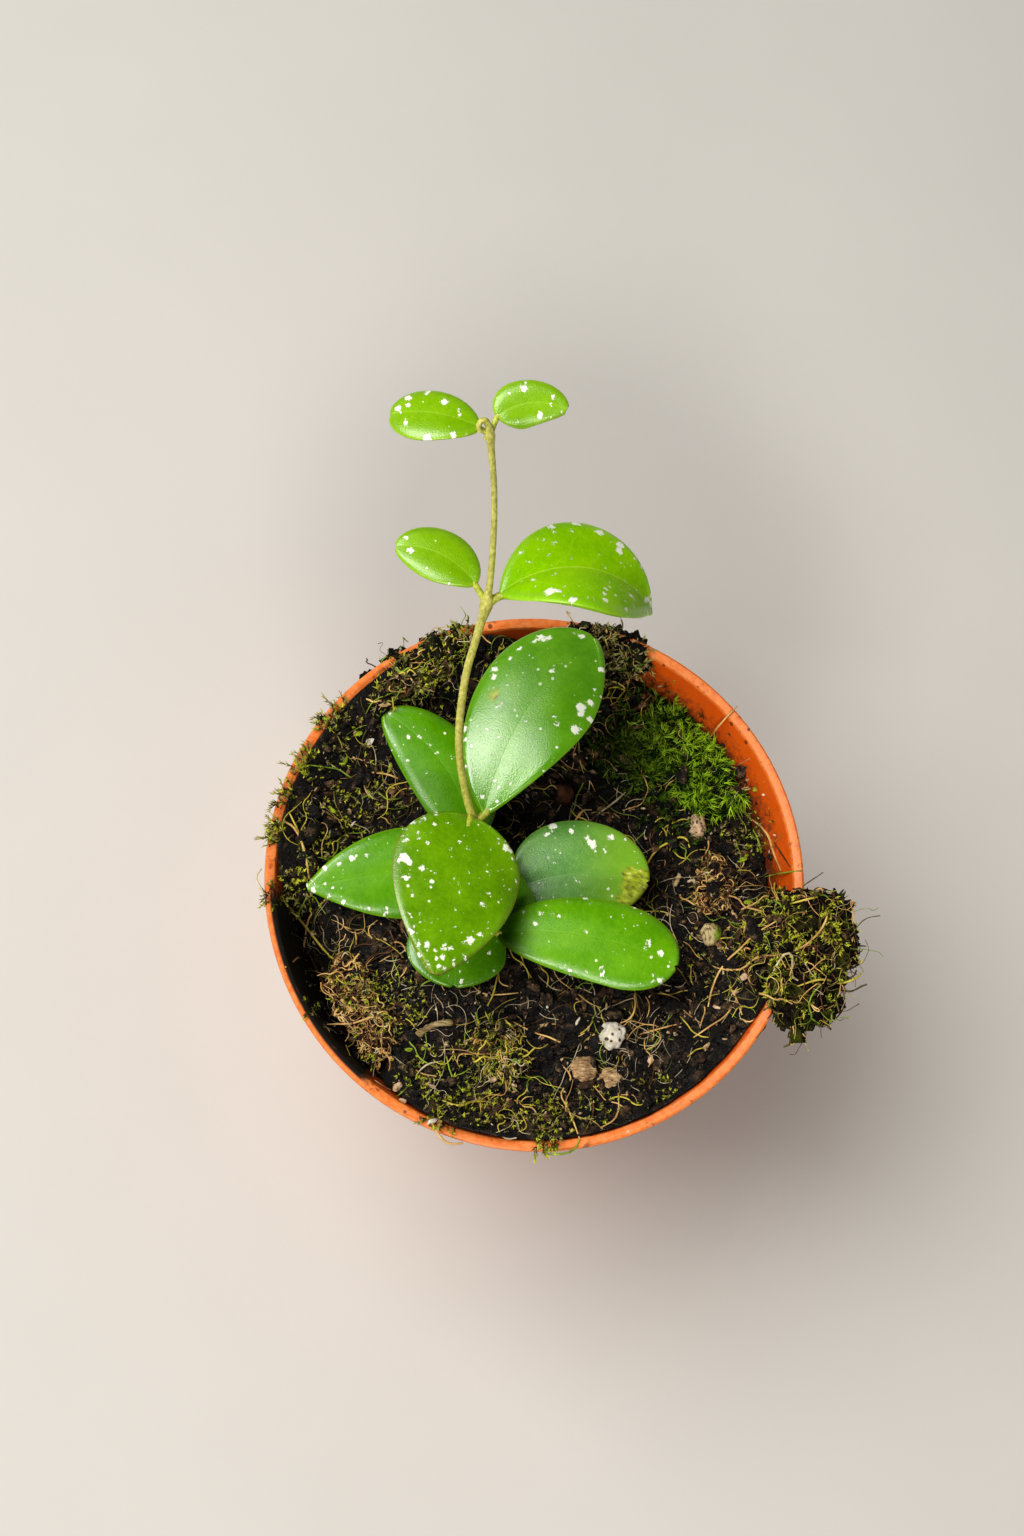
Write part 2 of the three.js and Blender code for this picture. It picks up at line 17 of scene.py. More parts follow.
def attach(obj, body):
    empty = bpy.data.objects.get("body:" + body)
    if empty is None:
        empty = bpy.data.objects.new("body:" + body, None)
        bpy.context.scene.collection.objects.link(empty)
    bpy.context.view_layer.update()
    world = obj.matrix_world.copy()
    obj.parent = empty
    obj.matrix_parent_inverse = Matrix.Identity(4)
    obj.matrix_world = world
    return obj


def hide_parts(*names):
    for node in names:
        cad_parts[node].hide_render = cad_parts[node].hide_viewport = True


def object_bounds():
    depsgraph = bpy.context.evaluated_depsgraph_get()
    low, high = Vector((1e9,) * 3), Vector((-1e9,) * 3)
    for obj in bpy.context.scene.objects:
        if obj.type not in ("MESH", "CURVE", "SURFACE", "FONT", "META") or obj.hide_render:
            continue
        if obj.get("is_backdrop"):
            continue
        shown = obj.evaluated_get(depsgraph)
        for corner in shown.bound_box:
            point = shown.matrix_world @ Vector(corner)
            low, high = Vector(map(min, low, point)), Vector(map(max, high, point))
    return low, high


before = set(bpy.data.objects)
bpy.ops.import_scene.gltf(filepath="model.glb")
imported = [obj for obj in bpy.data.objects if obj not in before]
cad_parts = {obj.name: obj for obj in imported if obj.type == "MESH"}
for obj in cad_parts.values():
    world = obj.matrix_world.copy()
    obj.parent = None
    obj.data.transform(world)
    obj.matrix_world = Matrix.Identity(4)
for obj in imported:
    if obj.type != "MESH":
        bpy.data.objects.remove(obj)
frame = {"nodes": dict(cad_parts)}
cad_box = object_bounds()
nodes = frame["nodes"]
scene = bpy.context.scene

MM = 0.001
UP = Vector((0, 0, 1))

# Camera: where the photograph was taken from
AIM = Vector((-4.8, 21.7, 90))
CAMERA_AZIMUTH = -17.1
CAMERA_ELEVATION = 76.1
CAMERA_DISTANCE = 450
LENS = 53.9

# Pot: a thin moulded wall under a folded lip and skirt, as [radius, height] pairs
RIM_RADIUS = 52.5
POT_HEIGHT = 90
LIP_INNER = 49.8
LIP_EDGE = 50.5
LIP_UNDERSIDE = 88.4
FLARE_LOW = 79
SKIRT_LOW = 80
FLOOR_TOP = 2.2
FLOOR_RADIUS = 35
WALL = 1.2
POT_STEPS = 128
DRAIN_HOLES = 8
DRAIN_RADIUS = 3
DRAIN_RING = 24
DRAIN_SEGMENTS = 24
DRAIN_DEPTH = 12
SHARP_ANGLE = math.radians(32)

# Potting mix: the plane that its relief lies about, and the turn of the gap at the wall in radians
GAP_TURN = 2.67
MIX_LEVEL = 79
MIX_SLOPE_X = -0.055
MIX_SLOPE_Y = -0.04


def direction(azimuth, elevation):
    """The unit vector at an azimuth from -Y towards +X and an elevation, both in degrees."""
    turn, rise = math.radians(azimuth), math.radians(elevation)
    return Vector((math.sin(turn) * math.cos(rise), -math.cos(turn) * math.cos(rise), math.sin(rise)))


def tone(red, green, blue):
    """A colour given in the usual 0 to 255 steps, as the shaders want it."""
    def linear(step):
        value = step / 255
        return value / 12.92 if value <= 0.04045 else ((value + 0.055) / 1.055) ** 2.4
    return linear(red), linear(green), linear(blue), 1.0


def lerp(low, high, share):
    return low + (high - low) * share


def put(name, data, matrix=None):
    """Puts an object into the scene, at the origin if no matrix is given."""
    piece = bpy.data.objects.new(name, data)
    scene.collection.objects.link(piece)
    if matrix:
        piece.matrix_world = matrix
    return piece


# Camera and light

def place_camera():
    back = direction(CAMERA_AZIMUTH, CAMERA_ELEVATION)
    right = Vector((0, 1, 0)).cross(back).normalized()
    up = back.cross(right)
    data = bpy.data.cameras.new("camera")
    data.lens = LENS
    data.sensor_width = 36
    data.clip_start = 0.01
    turned = Matrix((right, up, back)).transposed().to_4x4()
    scene.camera = put("camera", data, Matrix.Translation((AIM + back * CAMERA_DISTANCE) * MM) @ turned)


def softbox(name, azimuth, elevation, distance, width, height, power, colour):
    """A rectangular lamp, placed in metres round the plant, that faces the soil."""
    data = bpy.data.lights.new(name, "AREA")
    data.shape = "RECTANGLE"
    data.size = width
    data.size_y = height
    data.energy = power
    data.color = colour
    lamp = put(name, data)
    towards = direction(azimuth, elevation)
    lamp.location = Vector((0, 0, MIX_LEVEL * MM)) + towards * distance
    lamp.rotation_euler = towards.to_track_quat("Z", "Y").to_euler()


place_camera()
softbox("main", -113, 61, 1.0, 0.74, 0.7, 9.4, (1.0, 0.99, 0.95))
softbox("front", -10, 42, 0.9, 0.26, 0.22, 3.0, (1.0, 0.97, 0.92))

world = bpy.data.worlds.new("room")
world.use_nodes = True
backdrop = world.node_tree.nodes["Background"].inputs
backdrop["Color"].default_value = (1.0, 0.98, 0.94, 1.0)
backdrop["Strength"].default_value = 0.1
scene.world = world
scene.view_settings.view_transform = "Standard"
scene.view_settings.look = "Medium High Contrast"


# Shader building blocks

class Signal:
    """The output of a shader node, which adds, subtracts, multiplies and divides like a number."""

    def __init__(self, nodes, socket):
        self.nodes = nodes
        self.socket = socket

    def __add__(self, other):
        return self.nodes.math("ADD", self, other)

    def __sub__(self, other):
        return self.nodes.math("SUBTRACT", self, other)

    def __mul__(self, other):
        return self.nodes.math("MULTIPLY", self, other)

    def __truediv__(self, other):
        return self.nodes.math("DIVIDE", self, other)

    def __abs__(self):
        return self.nodes.math("ABSOLUTE", self)


def painted(colour):
    """A colour as a socket wants it: three numbers are 0 to 255 steps, and the rest is left as it is."""
    return tone(*colour) if isinstance(colour, tuple) and len(colour) == 3 else colour


class Nodes:
    """A node tree, with a short name for each kind of node that the finishes use. Sizes are millimetres."""

    def __init__(self, tree):
        self.tree = tree

    def connect(self, value, socket):
        if isinstance(value, Signal):
            self.tree.links.new(value.socket, socket)
        else:
            socket.default_value = value

    def node(self, kind, inputs=None, **settings):
        """A new node's outputs. Its inputs are signals or values."""
        made = self.tree.nodes.new(kind)
        for name, value in settings.items():
            setattr(made, name, value)
        for socket, value in (inputs or {}).items():
            self.connect(value, made.inputs[socket])
        return made.outputs

    def add(self, kind, output, inputs=None, **settings):
        """One output of a new node."""
        return Signal(self, self.node(kind, inputs, **settings)[output])

    def place(self):
        return self.add("ShaderNodeTexCoord", "Object")

    def surface(self, layer):
        return self.add("ShaderNodeUVMap", "UV", uv_map=layer)

    def value(self, attribute):
        return self.add("ShaderNodeAttribute", "Fac", attribute_name=attribute)

    def axes(self, vector):
        """The three parts of a place or a colour."""
        return [Signal(self, part) for part in self.node("ShaderNodeSeparateXYZ", {"Vector": vector})]

    def math(self, operation, first, second=0.0):
        return self.add("ShaderNodeMath", 0, {0: first, 1: second}, operation=operation)

    def stretched(self, where, factors):
        return self.add("ShaderNodeVectorMath", 0, {0: where, 1: factors}, operation="MULTIPLY")

    def noise(self, where, size, detail=3.0, roughness=0.55):
        return self.texture(where, 1 / (size * MM), detail, roughness)

    def texture(self, where, scale, detail, roughness):
        inputs = {"Vector": where, "Scale": scale, "Detail": detail, "Roughness": roughness}
        return self.add("ShaderNodeTexNoise", "Fac", inputs)

    def band(self, value, low, high, to_low=0.0, to_high=1.0):
        """A soft step of value between low and high."""
        inputs = {"Value": value, "From Min": low, "From Max": high, "To Min": to_low, "To Max": to_high}
        return self.add("ShaderNodeMapRange", "Result", inputs, interpolation_type="SMOOTHSTEP")

    def ramp(self, value, *stops):
        outputs = self.node("ShaderNodeValToRGB", {"Fac": value})
        elements = outputs["Color"].node.color_ramp.elements
        for _ in stops[2:]:
            elements.new(0.5)
        for element, (position, colour) in zip(elements, stops):
            element.position = position
            element.color = painted(colour)
        return Signal(self, outputs["Color"])

    def mix(self, share, under, over):
        inputs = {0: share, 6: painted(under), 7: painted(over)}
        return self.add("ShaderNodeMix", 2, inputs, data_type="RGBA")

    def grouped(self, name, where, **values):
        return self.add("ShaderNodeGroup", 0, {"Vector": where, **values}, node_tree=GROUPS[name])

    def mottle(self, where, size):
        return self.grouped("mottle", where, Size=size)

    def streaks(self, where, size):
        return self.grouped("streaks", where, Size=size)

    def speckle(self, where, size, radius, share):
        return self.grouped("speckle", where, Size=size, Radius=radius, Share=share)

    def bump(self, height, strength, distance, under=None):
        inputs = {"Height": height, "Strength": strength, "Distance": distance * MM}
        if under:
            inputs["Normal"] = under
        return self.add("ShaderNodeBump", "Normal", inputs)


def socket_name(name):
    return name.replace("_", " ").title().replace("Ior", "IOR")


class Finish(Nodes):
    """A material with one Principled shader, whose colour is built up in coats. fixed holds the values that
    are the same all over it."""

    def __init__(self, name, **fixed):
        self.material = bpy.data.materials.new(name)
        self.material.use_nodes = True
        super().__init__(self.material.node_tree)
        self.shader = self.tree.nodes["Principled BSDF"]
        self.colour = None
        for label, value in fixed.items():
            self.connect(value, self.shader.inputs[socket_name(label)])

    def coat(self, share, over):
        """Lays a colour over the colour so far, where share is above 0."""
        self.colour = self.mix(share, self.colour, over)

    def done(self, **signals):
        for label, signal in {"base_color": self.colour, **signals}.items():
            self.connect(signal, self.shader.inputs[socket_name(label)])
        return self.material


GROUPS = {}


def node_group(name, **defaults):
    """A new shader group that takes a place and some values and gives one value: its nodes, the scale that
    its Size stands for, and all that it is given."""
    tree = bpy.data.node_groups.new(name, "ShaderNodeTree")
    tree.interface.new_socket("Vector", in_out="INPUT", socket_type="NodeSocketVector")
    for label, default in defaults.items():
        socket = tree.interface.new_socket(label, in_out="INPUT", socket_type="NodeSocketFloat")
        socket.default_value = default
    tree.interface.new_socket("Value", in_out="OUTPUT", socket_type="NodeSocketFloat")
    build = Nodes(tree)
    outputs = build.node("NodeGroupInput")
    given = {label: Signal(build, outputs[label]) for label in ("Vector", *defaults)}
    return build, build.math("DIVIDE", 1 / MM, given["Size"]), given


def close_group(name, build, value):
    end = build.tree.nodes.new("NodeGroupOutput")
    build.connect(value, end.inputs["Value"])
    GROUPS[name] = build.tree


def make_mottle():
    """Soft blotches with finer ones in them, from 0 to 1. Size is the blotch in millimetres."""
    build, scale, given = node_group("mottle", Size=5.0)
    broad = build.texture(given["Vector"], scale, 4.0, 0.6)
    close_group("mottle", build, build.band(broad, 0.28, 0.72))


def make_speckle():
    """Scattered spots. Size is their spacing, Radius their radius as a share of it, Share how many show."""
    build, scale, given = node_group("speckle", Size=2.0, Radius=0.3, Share=0.5)
    centre = given["Vector"]
    ragged = build.add("ShaderNodeTexNoise", "Color", {"Vector": centre, "Scale": scale})
    wobble = build.add("ShaderNodeVectorMath", 0, {0: ragged, "Scale": 0.4 * MM}, operation="SCALE")
    where = build.add("ShaderNodeVectorMath", 0, {0: centre, 1: wobble}, operation="ADD")
    spots = build.node("ShaderNodeTexVoronoi", {"Vector": where, "Scale": scale})
    pick, size, _ = build.axes(Signal(build, spots["Color"]))
    inside = given["Radius"] * build.band(size, 0.0, 1.0, 0.35, 1.0) - Signal(build, spots["Distance"])
    shown = build.math("LESS_THAN", pick, given["Share"])
    close_group("speckle", build, build.band(inside, -0.02, 0.03) * shown)


def make_streaks():
    """Long thin streaks along Z, from 0 to 1. Size is their width in millimetres."""
    build, scale, given = node_group("streaks", Size=0.4)
    streak = build.texture(build.stretched(given["Vector"], (1.0, 1.0, 0.12)), scale, 3.0, 0.6)
    close_group("streaks", build, build.band(streak, 0.3, 0.7))


make_mottle()
make_speckle()
make_streaks()


# Finishes

def plastic_finish():
    """Terracotta-coloured plastic: a paler lip, scuffs, mineral specks and a dirty line at the mix."""
    look = Finish("terracotta_plastic", specular_ior_level=0.45)
    where = look.place()
    x, y, z = look.axes(where)
    radius = look.math("SQRT", x * x + y * y)
    blotch = look.mottle(where, 16.0)
    fine = look.mottle(where, 1.2)
    look.colour = look.mix(blotch, (226, 92, 8), (240, 108, 16))
    look.coat(fine * 0.16, (248, 132, 70))
    look.coat(look.streaks(where, 2.4) * 0.12, (196, 66, 16))
    lip = look.band(z, 88.8 * MM, 89.3 * MM)
    look.coat(lip * look.band(fine, 0.0, 1.0, 0.4, 0.9), (243, 150, 82))

    # The inner wall is dirty below the mix. Behind the gap it is painted near-black all the way up: painted
    # shade for the wall that faces away from the light
    wall_line = z * ((LIP_INNER - FLOOR_RADIUS) / (POT_HEIGHT - FLOOR_TOP))
    wall_line += look.band(z, FLARE_LOW * MM, POT_HEIGHT * MM, 0.0, 1.1 * MM)
    inside = look.band(radius - wall_line, 35.5 * MM, 35.0 * MM)
    low = look.band(z + fine * (-6 * MM), 84 * MM, 74 * MM)
    turn = abs(look.math("ARCTAN2", y, x) + GAP_TURN)
    # painted shade: the wall round the turn of the gap
    shaded = look.band(turn + fine * 0.06, 0.5, 0.4)
    dirt_and_painted_shade = inside * look.math("MAXIMUM", low * 0.85, shaded)
    # brown dirt below the mix, near-black painted shade behind the gap
    look.coat(dirt_and_painted_shade, look.mix(shaded, (70, 40, 22), (14, 9, 6)))
    splash = look.band(z + blotch * (14 * MM), 26 * MM, 4 * MM) * fine
    look.coat(splash * 0.55, (150, 112, 84))

    # Specks, chalk, scratches, cracks across the lip and grime on it
    specks = look.speckle(where, 3.2, 0.16, 0.3)
    look.coat(specks * 0.75, (60, 46, 26))
    chalk = look.speckle(look.stretched(where, (1.0, 1.0, 1.01)), 5.5, 0.12, 0.22)
    look.coat(chalk * 0.8, (232, 214, 196))
    scratch = look.band(look.noise(look.stretched(where, (1.0, 1.0, 14.0)), 1.8, 6.0), 0.62, 0.7)
    look.coat(scratch * 0.4, (120, 48, 20))
    unrolled = look.add("ShaderNodeCombineXYZ", "Vector", {"X": turn * (50 * MM), "Y": radius})
    cracks = look.noise(look.stretched(unrolled, (1.0, 0.14, 1.0)), 0.9, 2.0)
    look.coat(look.band(cracks, 0.72, 0.76) * lip * 0.8, (96, 40, 18))
    grime = look.band(look.noise(where, 4.0, 6.0, 0.75), 0.56, 0.68)
    look.coat(grime * lip * 0.7, (84, 52, 26))
    roughness = look.band(fine + dirt_and_painted_shade, 0.0, 1.6, 0.34, 0.7)
    relief = fine * 0.4 + specks * 1.2
    return look.done(roughness=roughness, normal=look.bump(relief, 0.35, 0.12))


def mix_finish(name, dark, mid, light, glint, grain=1.1):
    """Moist crumbly matter in three browns. glint is the share of it that is wet and shines."""
    look = Finish(name, specular_ior_level=0.5)
    where = look.place()
    fine = look.noise(where, grain * 0.45, 6.0, 0.7)
    blend = look.mottle(where, grain * 3) * 0.45 + fine * 0.65
    look.colour = look.ramp(blend, (0.3, dark), (0.62, mid), (0.86, light))
    hairs = look.noise(look.stretched(where, (1.0, 3.5, 1.0)), grain * 1.4, 6.0, 0.75)
    look.coat(look.band(hairs, 0.6, 0.68) * 0.5, light)
    look.coat(look.speckle(where, grain * 1.1, 0.24, 0.16) * 0.75, (176, 146, 112))
    wet = look.band(look.noise(where, grain * 1.8), 0.45, 0.6, 0.95, 0.95 - glint)
    coarse = look.bump(fine, 0.9, 0.5)
    normal = look.bump(look.noise(where, grain * 0.18, 4.0, 0.7), 0.7, 0.2, coarse)
    return look.done(roughness=wet, normal=normal)


def strand_finish(name, pale, deep, knot):
    """A root, straw or hair: a pale skin with darker lengths and small knots."""
    look = Finish(name, roughness=0.55, specular_ior_level=0.35)
    where = look.place()
    skin = look.noise(where, 0.35, 3.0)
    look.colour = look.mix(look.mottle(where, 3.2), deep, pale)
    look.coat(look.speckle(where, 1.5, 0.3, 0.25) * 0.7, knot)
    look.coat(skin * 0.35, deep)
    return look.done(normal=look.bump(skin, 0.5, 0.08))


def sprig_finish(name, foot, middle, bright, dry, dryness, dark_side=-100.0, lit_side=-90.0):
    """Moss leaves: dark at the foot, partly their own darker base and partly painted shade between the
    shoots, and bright at the tip, with dry straw-coloured ones between. Painted shade also darkens them from
    lit_side to dark_side, two places along X."""
    look = Finish(name, roughness=0.6, specular_ior_level=0.3)
    where = look.place()
    patch = look.mottle(where, 5.5)
    cells = look.add("ShaderNodeTexVoronoi", "Color", {"Vector": where, "Scale": 1 / (1.1 * MM)})
    first, second, _ = look.axes(cells)
    # the dark foot is partly painted shade between the shoots
    height = look.value("tip") + patch * 0.4 + second * 0.25
    look.colour = look.ramp(height, (0.2, foot), (0.75, middle), (1.0, bright))
    look.coat(look.band(first - patch * 0.3, 1 - dryness, 1.02 - dryness), dry)
    fine = look.noise(where, 0.3, 3.0)
    look.coat(fine * 0.35, foot)
    # painted shade: darker from lit_side towards dark_side along X
    look.coat(look.band(look.axes(where)[0], lit_side * MM, dark_side * MM, 0.0, 0.8), foot)
    return look.done(normal=look.bump(fine, 0.4, 0.08))


def felt_finish(name, peat, root, moss, mossiness):
    """The body of a pad: matted peat with pale roots through it and green patches on top."""
    look = Finish(name, roughness=0.85, specular_ior_level=0.25)
    where = look.place()
    fine = look.noise(where, 0.5, 6.0, 0.75)
    twisted = look.noise(look.stretched(where, (3.0, 1.0, 1.8)), 1.6, 6.0, 0.8)
    look.colour = look.ramp(fine, (0.3, (10, 8, 6)), (0.62, peat))
    look.coat(look.band(twisted, 0.58, 0.66, 0.0, 0.8), root)
    patch = look.noise(where, 5.0, 4.0, 0.65) + fine * 0.25
    look.coat(look.band(patch, 0.8 - mossiness, 0.9 - mossiness) * 0.85, moss)
    return look.done(normal=look.bump(twisted, 0.8, 0.4, look.bump(fine, 1.0, 0.5)))


def leaf_finish(name, deep, fresh, rib, margin, flecked=0.5, mist=0.2, vein=0.1, sheen=0.28, gloss=0.3,
                bare=0.0, heel=0.0, ior=1.5, end=None):
    """A waxy hoya leaf: mottled green, white flecks that thicken towards its margin, and faint veins.
    Its rolled margin shines. bare is how far from its heel the flecks start, and heel how far a painted
    shadow darkens it there, in millimetres. end is the green that it turns to past its middle."""
    look = Finish(name, ior=ior)
    blade = look.surface("blade")
    reach, along, edge, under = (look.value(label) for label in ("reach", "along", "edge", "under"))
    broad = look.mottle(blade, 9.0)
    shade = broad * 0.7 + look.mottle(blade, 0.9) * 0.3
    look.colour = look.mix(shade, deep, fresh)
    # The blade turns to end past its middle; for the blue tint this ends its painted sheen
    if end:
        look.coat(look.band(along, 9.0, 23.0, 0.0, 0.8), end)

    # Side veins leave the midrib at a slant every few millimetres
    away = abs(reach)
    slant = along - away * 0.75 + look.noise(blade, 6.0, 2.0) * 5.0
    step = abs(look.math("FRACT", slant / 5.2) - 0.5)
    side_vein = look.band(step, 0.045, 0.0) * look.band(edge, 1.0, 4.0)
    lines = look.math("MAXIMUM", look.band(away, 0.3, 0.05), side_vein * 0.3)
    look.coat(lines * vein, rib)
    # A paler margin: partly the leaf's own rim colour, partly a painted highlight along its edge
    look.coat(look.band(edge, 0.45, 0.1) * 0.5, margin)

    # Flecks: placed ones from the blade's own values, small ones scattered between
    jagged = (look.noise(blade, 0.55, 5.0, 0.8) - 0.5) * 1.9
    ragged = jagged + (look.noise(blade, 1.6, 2.0) - 0.5)
    placed = look.band(look.value("fleck") + ragged, 0.04, -0.04)
    tiny = look.speckle(blade, 1.0, 0.17, 0.2) * 0.8
    scatter = look.math("MAXIMUM", look.speckle(blade, 2.0, 0.17, flecked), tiny)
    spread = look.band(edge, 11.0, 0.5, 0.7, 1.0)
    if bare:
        spread *= look.band(along, bare - 5, bare + 5, 0.15, 1.0)
    look.coat(look.speckle(blade, 0.55, 0.3, 0.35) * broad * mist, (196, 222, 120))
    look.coat(scatter * spread, (238, 244, 214))
    look.coat(placed, (246, 250, 232))
    # painted shadow: the heel is darkened, standing in for the shade another leaf casts on it
    if heel:
        look.coat(look.band(along, heel, 0.2 * heel, 0.0, 0.85), (14, 34, 0))

    # A dry scar is yellow-green, with brown and white threads in it
    scar = look.band(look.value("scar") + ragged * 2.4, 0.25, -0.25)
    threads = look.noise(look.stretched(blade, (2.2, 1.0, 1.0)), 2.4, 6.0, 0.6)
    look.coat(scar, look.ramp(threads, (0.36, (112, 72, 40)), (0.44, (134, 150, 18)), (0.58, (178, 194, 30)),
                              (0.66, (230, 222, 160))))
    look.coat(under * 0.7, (132, 166, 62))

    roughness = look.band(shade, 0.0, 1.0, sheen - 0.04, sheen + 0.06) + (scar * 0.3 + placed * 0.12)
    relief = look.bump(lines * -1.0, 0.14, 0.16)
    relief = look.bump(look.noise(blade, 0.3, 2.0, 0.6) + placed, 0.55, 0.12, relief)
    shine = look.band(edge, 2.2, 0.8, gloss, 1.0)
    if heel:
        shine *= look.band(along, 0.3 * heel, heel, 0.1, 1.0)
    return look.done(roughness=roughness, specular_ior_level=shine, normal=relief)


def stalk_finish(name, pale, deep, scurf):
    """Green stem skin with long streaks, brown scurf and pale breathing pores."""
    look = Finish(name, roughness=0.36, specular_ior_level=0.6)
    where = look.place()
    streak = look.streaks(where, 0.5)
    look.colour = look.mix(streak, deep, pale)
    look.coat(look.mottle(where, 4.0) * 0.2, scurf)
    pores = look.speckle(where, 0.9, 0.2, 0.3)
    look.coat(pores * 0.55, (206, 196, 140))
    relief = streak * 0.6 + (pores + look.noise(where, 0.25, 3.0))
    return look.done(normal=look.bump(relief, 0.35, 0.1))


def stone_finish(name, pale, shade, pit, pit_size):
    """A light grain: chalky, with dark pits."""
    look = Finish(name, roughness=0.88, specular_ior_level=0.25)
    where = look.place()
    look.colour = look.mix(look.mottle(where, 1.6), shade, pale)
    pits = look.speckle(where, pit_size, 0.34, 0.55)
    look.coat(pits * 0.9, pit)
    relief = look.noise(where, 0.25, 4.0, 0.7) - pits * 1.5
    return look.done(normal=look.bump(relief, 0.8, 0.3))


def bark_finish(name, pale, mid, dark):
    """Split bark or husk: grain lines along it, with darker cracks."""
    look = Finish(name, roughness=0.8, specular_ior_level=0.3)
    where = look.place()
    grain = look.noise(look.stretched(where, (1.0, 5.0, 1.0)), 1.5, 5.0, 0.7)
    look.colour = look.ramp(grain, (0.34, dark), (0.5, mid), (0.64, pale))
    look.coat(look.mottle(where, 2.2) * 0.35, mid)
    return look.done(normal=look.bump(grain, 0.9, 0.3))


# Where the dry flake lies: its middle along X, and its heel and tip along Y
FLAKE_MIDDLE = 36.2
FLAKE_HEEL = -7.4
FLAKE_TIP = -11.4


def husk_leaf_finish():
    """The curled dry flake: one half beige, the other still green, with dark veins."""
    look = Finish("dry_flake", roughness=0.6, specular_ior_level=0.35)
    where = look.place()
    x, y, _ = look.axes(where)
    blotch = look.mottle(where, 1.5)
    halves = x - FLAKE_MIDDLE * MM + blotch * (2.2 * MM)
    look.colour = look.mix(look.band(halves, -0.4 * MM, 2.0 * MM), (206, 186, 142), (126, 158, 42))
    veins = look.noise(look.stretched(where, (2.4, 1.0, 1.0)), 0.9, 4.0)
    look.coat(look.band(veins, 0.5, 0.42) * 0.8, (84, 66, 36))
    look.coat(look.band(y, FLAKE_HEEL * MM, FLAKE_TIP * MM, 0.0, 0.35), (120, 98, 60))
    return look.done(normal=look.bump(blotch, 0.5, 0.25))


plastic = plastic_finish()
peat = mix_finish("moist_peat", (2, 2, 2), (16, 12, 9), (104, 82, 60), 0.7)
crumb_peat = mix_finish("peat_crumb", (3, 2, 2), (17, 12, 9), (146, 118, 86), 0.7, 0.8)
crumb_bark = mix_finish("bark_crumb", (20, 13, 8), (84, 58, 38), (186, 148, 108), 0.3, 0.8)
root_tan = strand_finish("tan_root", (244, 208, 138), (190, 144, 86), (110, 76, 42))
root_brown = strand_finish("brown_root", (122, 86, 54), (70, 46, 28), (40, 28, 18))
hair_olive = strand_finish("olive_hair", (132, 124, 62), (66, 60, 26), (40, 34, 18))
straw_yellow = strand_finish("yellow_straw", (234, 216, 100), (168, 150, 52), (96, 92, 30))
stalk_green = strand_finish("green_hair", (172, 196, 72), (96, 122, 30), (120, 110, 40))
thread_pale = strand_finish("pale_thread", (232, 220, 188), (176, 158, 124), (130, 108, 78))
STRAND_COLOURS = {
    "tan": root_tan, "brown": root_brown, "yellow": straw_yellow, "green": stalk_green, "pale": thread_pale,
    "olive": hair_olive,
}


# Mesh helpers

MERGE_DISTANCE = 0.01 * MM
RAY_START = 130
NOISE_STEP = (7.3, 3.1, 1.7)
CENTRE = (0, 0, 0)
FULL_TURN = 2 * math.pi


def mesh_from(bm, name, finish):
    """Turns a bmesh into a mesh that one piece, or many copies, can have."""
    mesh = bpy.data.meshes.new(name)
    bm.to_mesh(mesh)
    bm.free()
    mesh.materials.append(finish)
    return mesh


def piece_from(bm, name, finish):
    """Makes a smooth object at the origin from a bmesh."""
    mesh = mesh_from(bm, name, finish)
    mesh.shade_smooth()
    return put(name, mesh)


def modified(piece, *modifiers):
    """Adds modifiers, given as (kind, settings), and applies them."""
    for kind, settings in modifiers:
        modifier = piece.modifiers.new(kind.lower(), kind)
        for name, value in settings.items():
            setattr(modifier, name, value)
    graph = bpy.context.evaluated_depsgraph_get()
    shaped = bpy.data.meshes.new_from_object(piece.evaluated_get(graph), preserve_all_data_layers=True,
                                             depsgraph=graph)
    piece.modifiers.clear()
    piece.data = shaped
    return piece


def joined(pieces):
    """Joins objects, each with its own place, into the first one."""
    first = pieces[0]
    first.data = first.data.copy()
    bpy.context.view_layer.update()
    with bpy.context.temp_override(active_object=first, object=first, selected_objects=pieces,
                                   selected_editable_objects=pieces):
        bpy.ops.object.join()
    first.data.transform(first.matrix_world)
    first.matrix_world = Matrix.Identity(4)
    return first


def set_out(name, places):
    """Sets out copies of templates, given as (mesh, matrix), as one piece."""
    whole = joined([put(name, mesh, matrix) for mesh, matrix in places])
    whole.name = name
    return whole


def placing(point, way, turn=0.0, scale=(1, 1, 1)):
    """The matrix that stands a template at a point in millimetres, with its Z along way."""
    stand = way.to_track_quat("Z", "Y").to_matrix().to_4x4()
    sized = Matrix.Diagonal((*scale, 1))
    return Matrix.Translation(Vector(point) * MM) @ stand @ Matrix.Rotation(turn, 4, "Z") @ sized


def tubes(name, runs, finish, sides=1, resolution=3):
    """Round tubes along smooth curves. A run is a list of (point, radius) in millimetres."""
    curve = bpy.data.curves.new(name, "CURVE")
    curve.dimensions = "3D"
    curve.bevel_depth = MM
    curve.bevel_resolution = sides
    curve.resolution_u = resolution
    curve.use_fill_caps = True
    for run in runs:
        spline = curve.splines.new("BEZIER")
        spline.bezier_points.add(len(run) - 1)
        for knot, (point, radius) in zip(spline.bezier_points, run):
            knot.co = Vector(point) * MM
            knot.radius = radius
            knot.handle_left_type = knot.handle_right_type = "AUTO"
    drawn = put(name, curve)
    graph = bpy.context.evaluated_depsgraph_get()
    mesh = bpy.data.meshes.new_from_object(drawn.evaluated_get(graph), depsgraph=graph)
    bpy.data.objects.remove(drawn)
    bpy.data.curves.remove(curve)
    mesh.materials.clear()
    mesh.materials.append(finish)
    mesh.shade_smooth()
    return put(name, mesh)


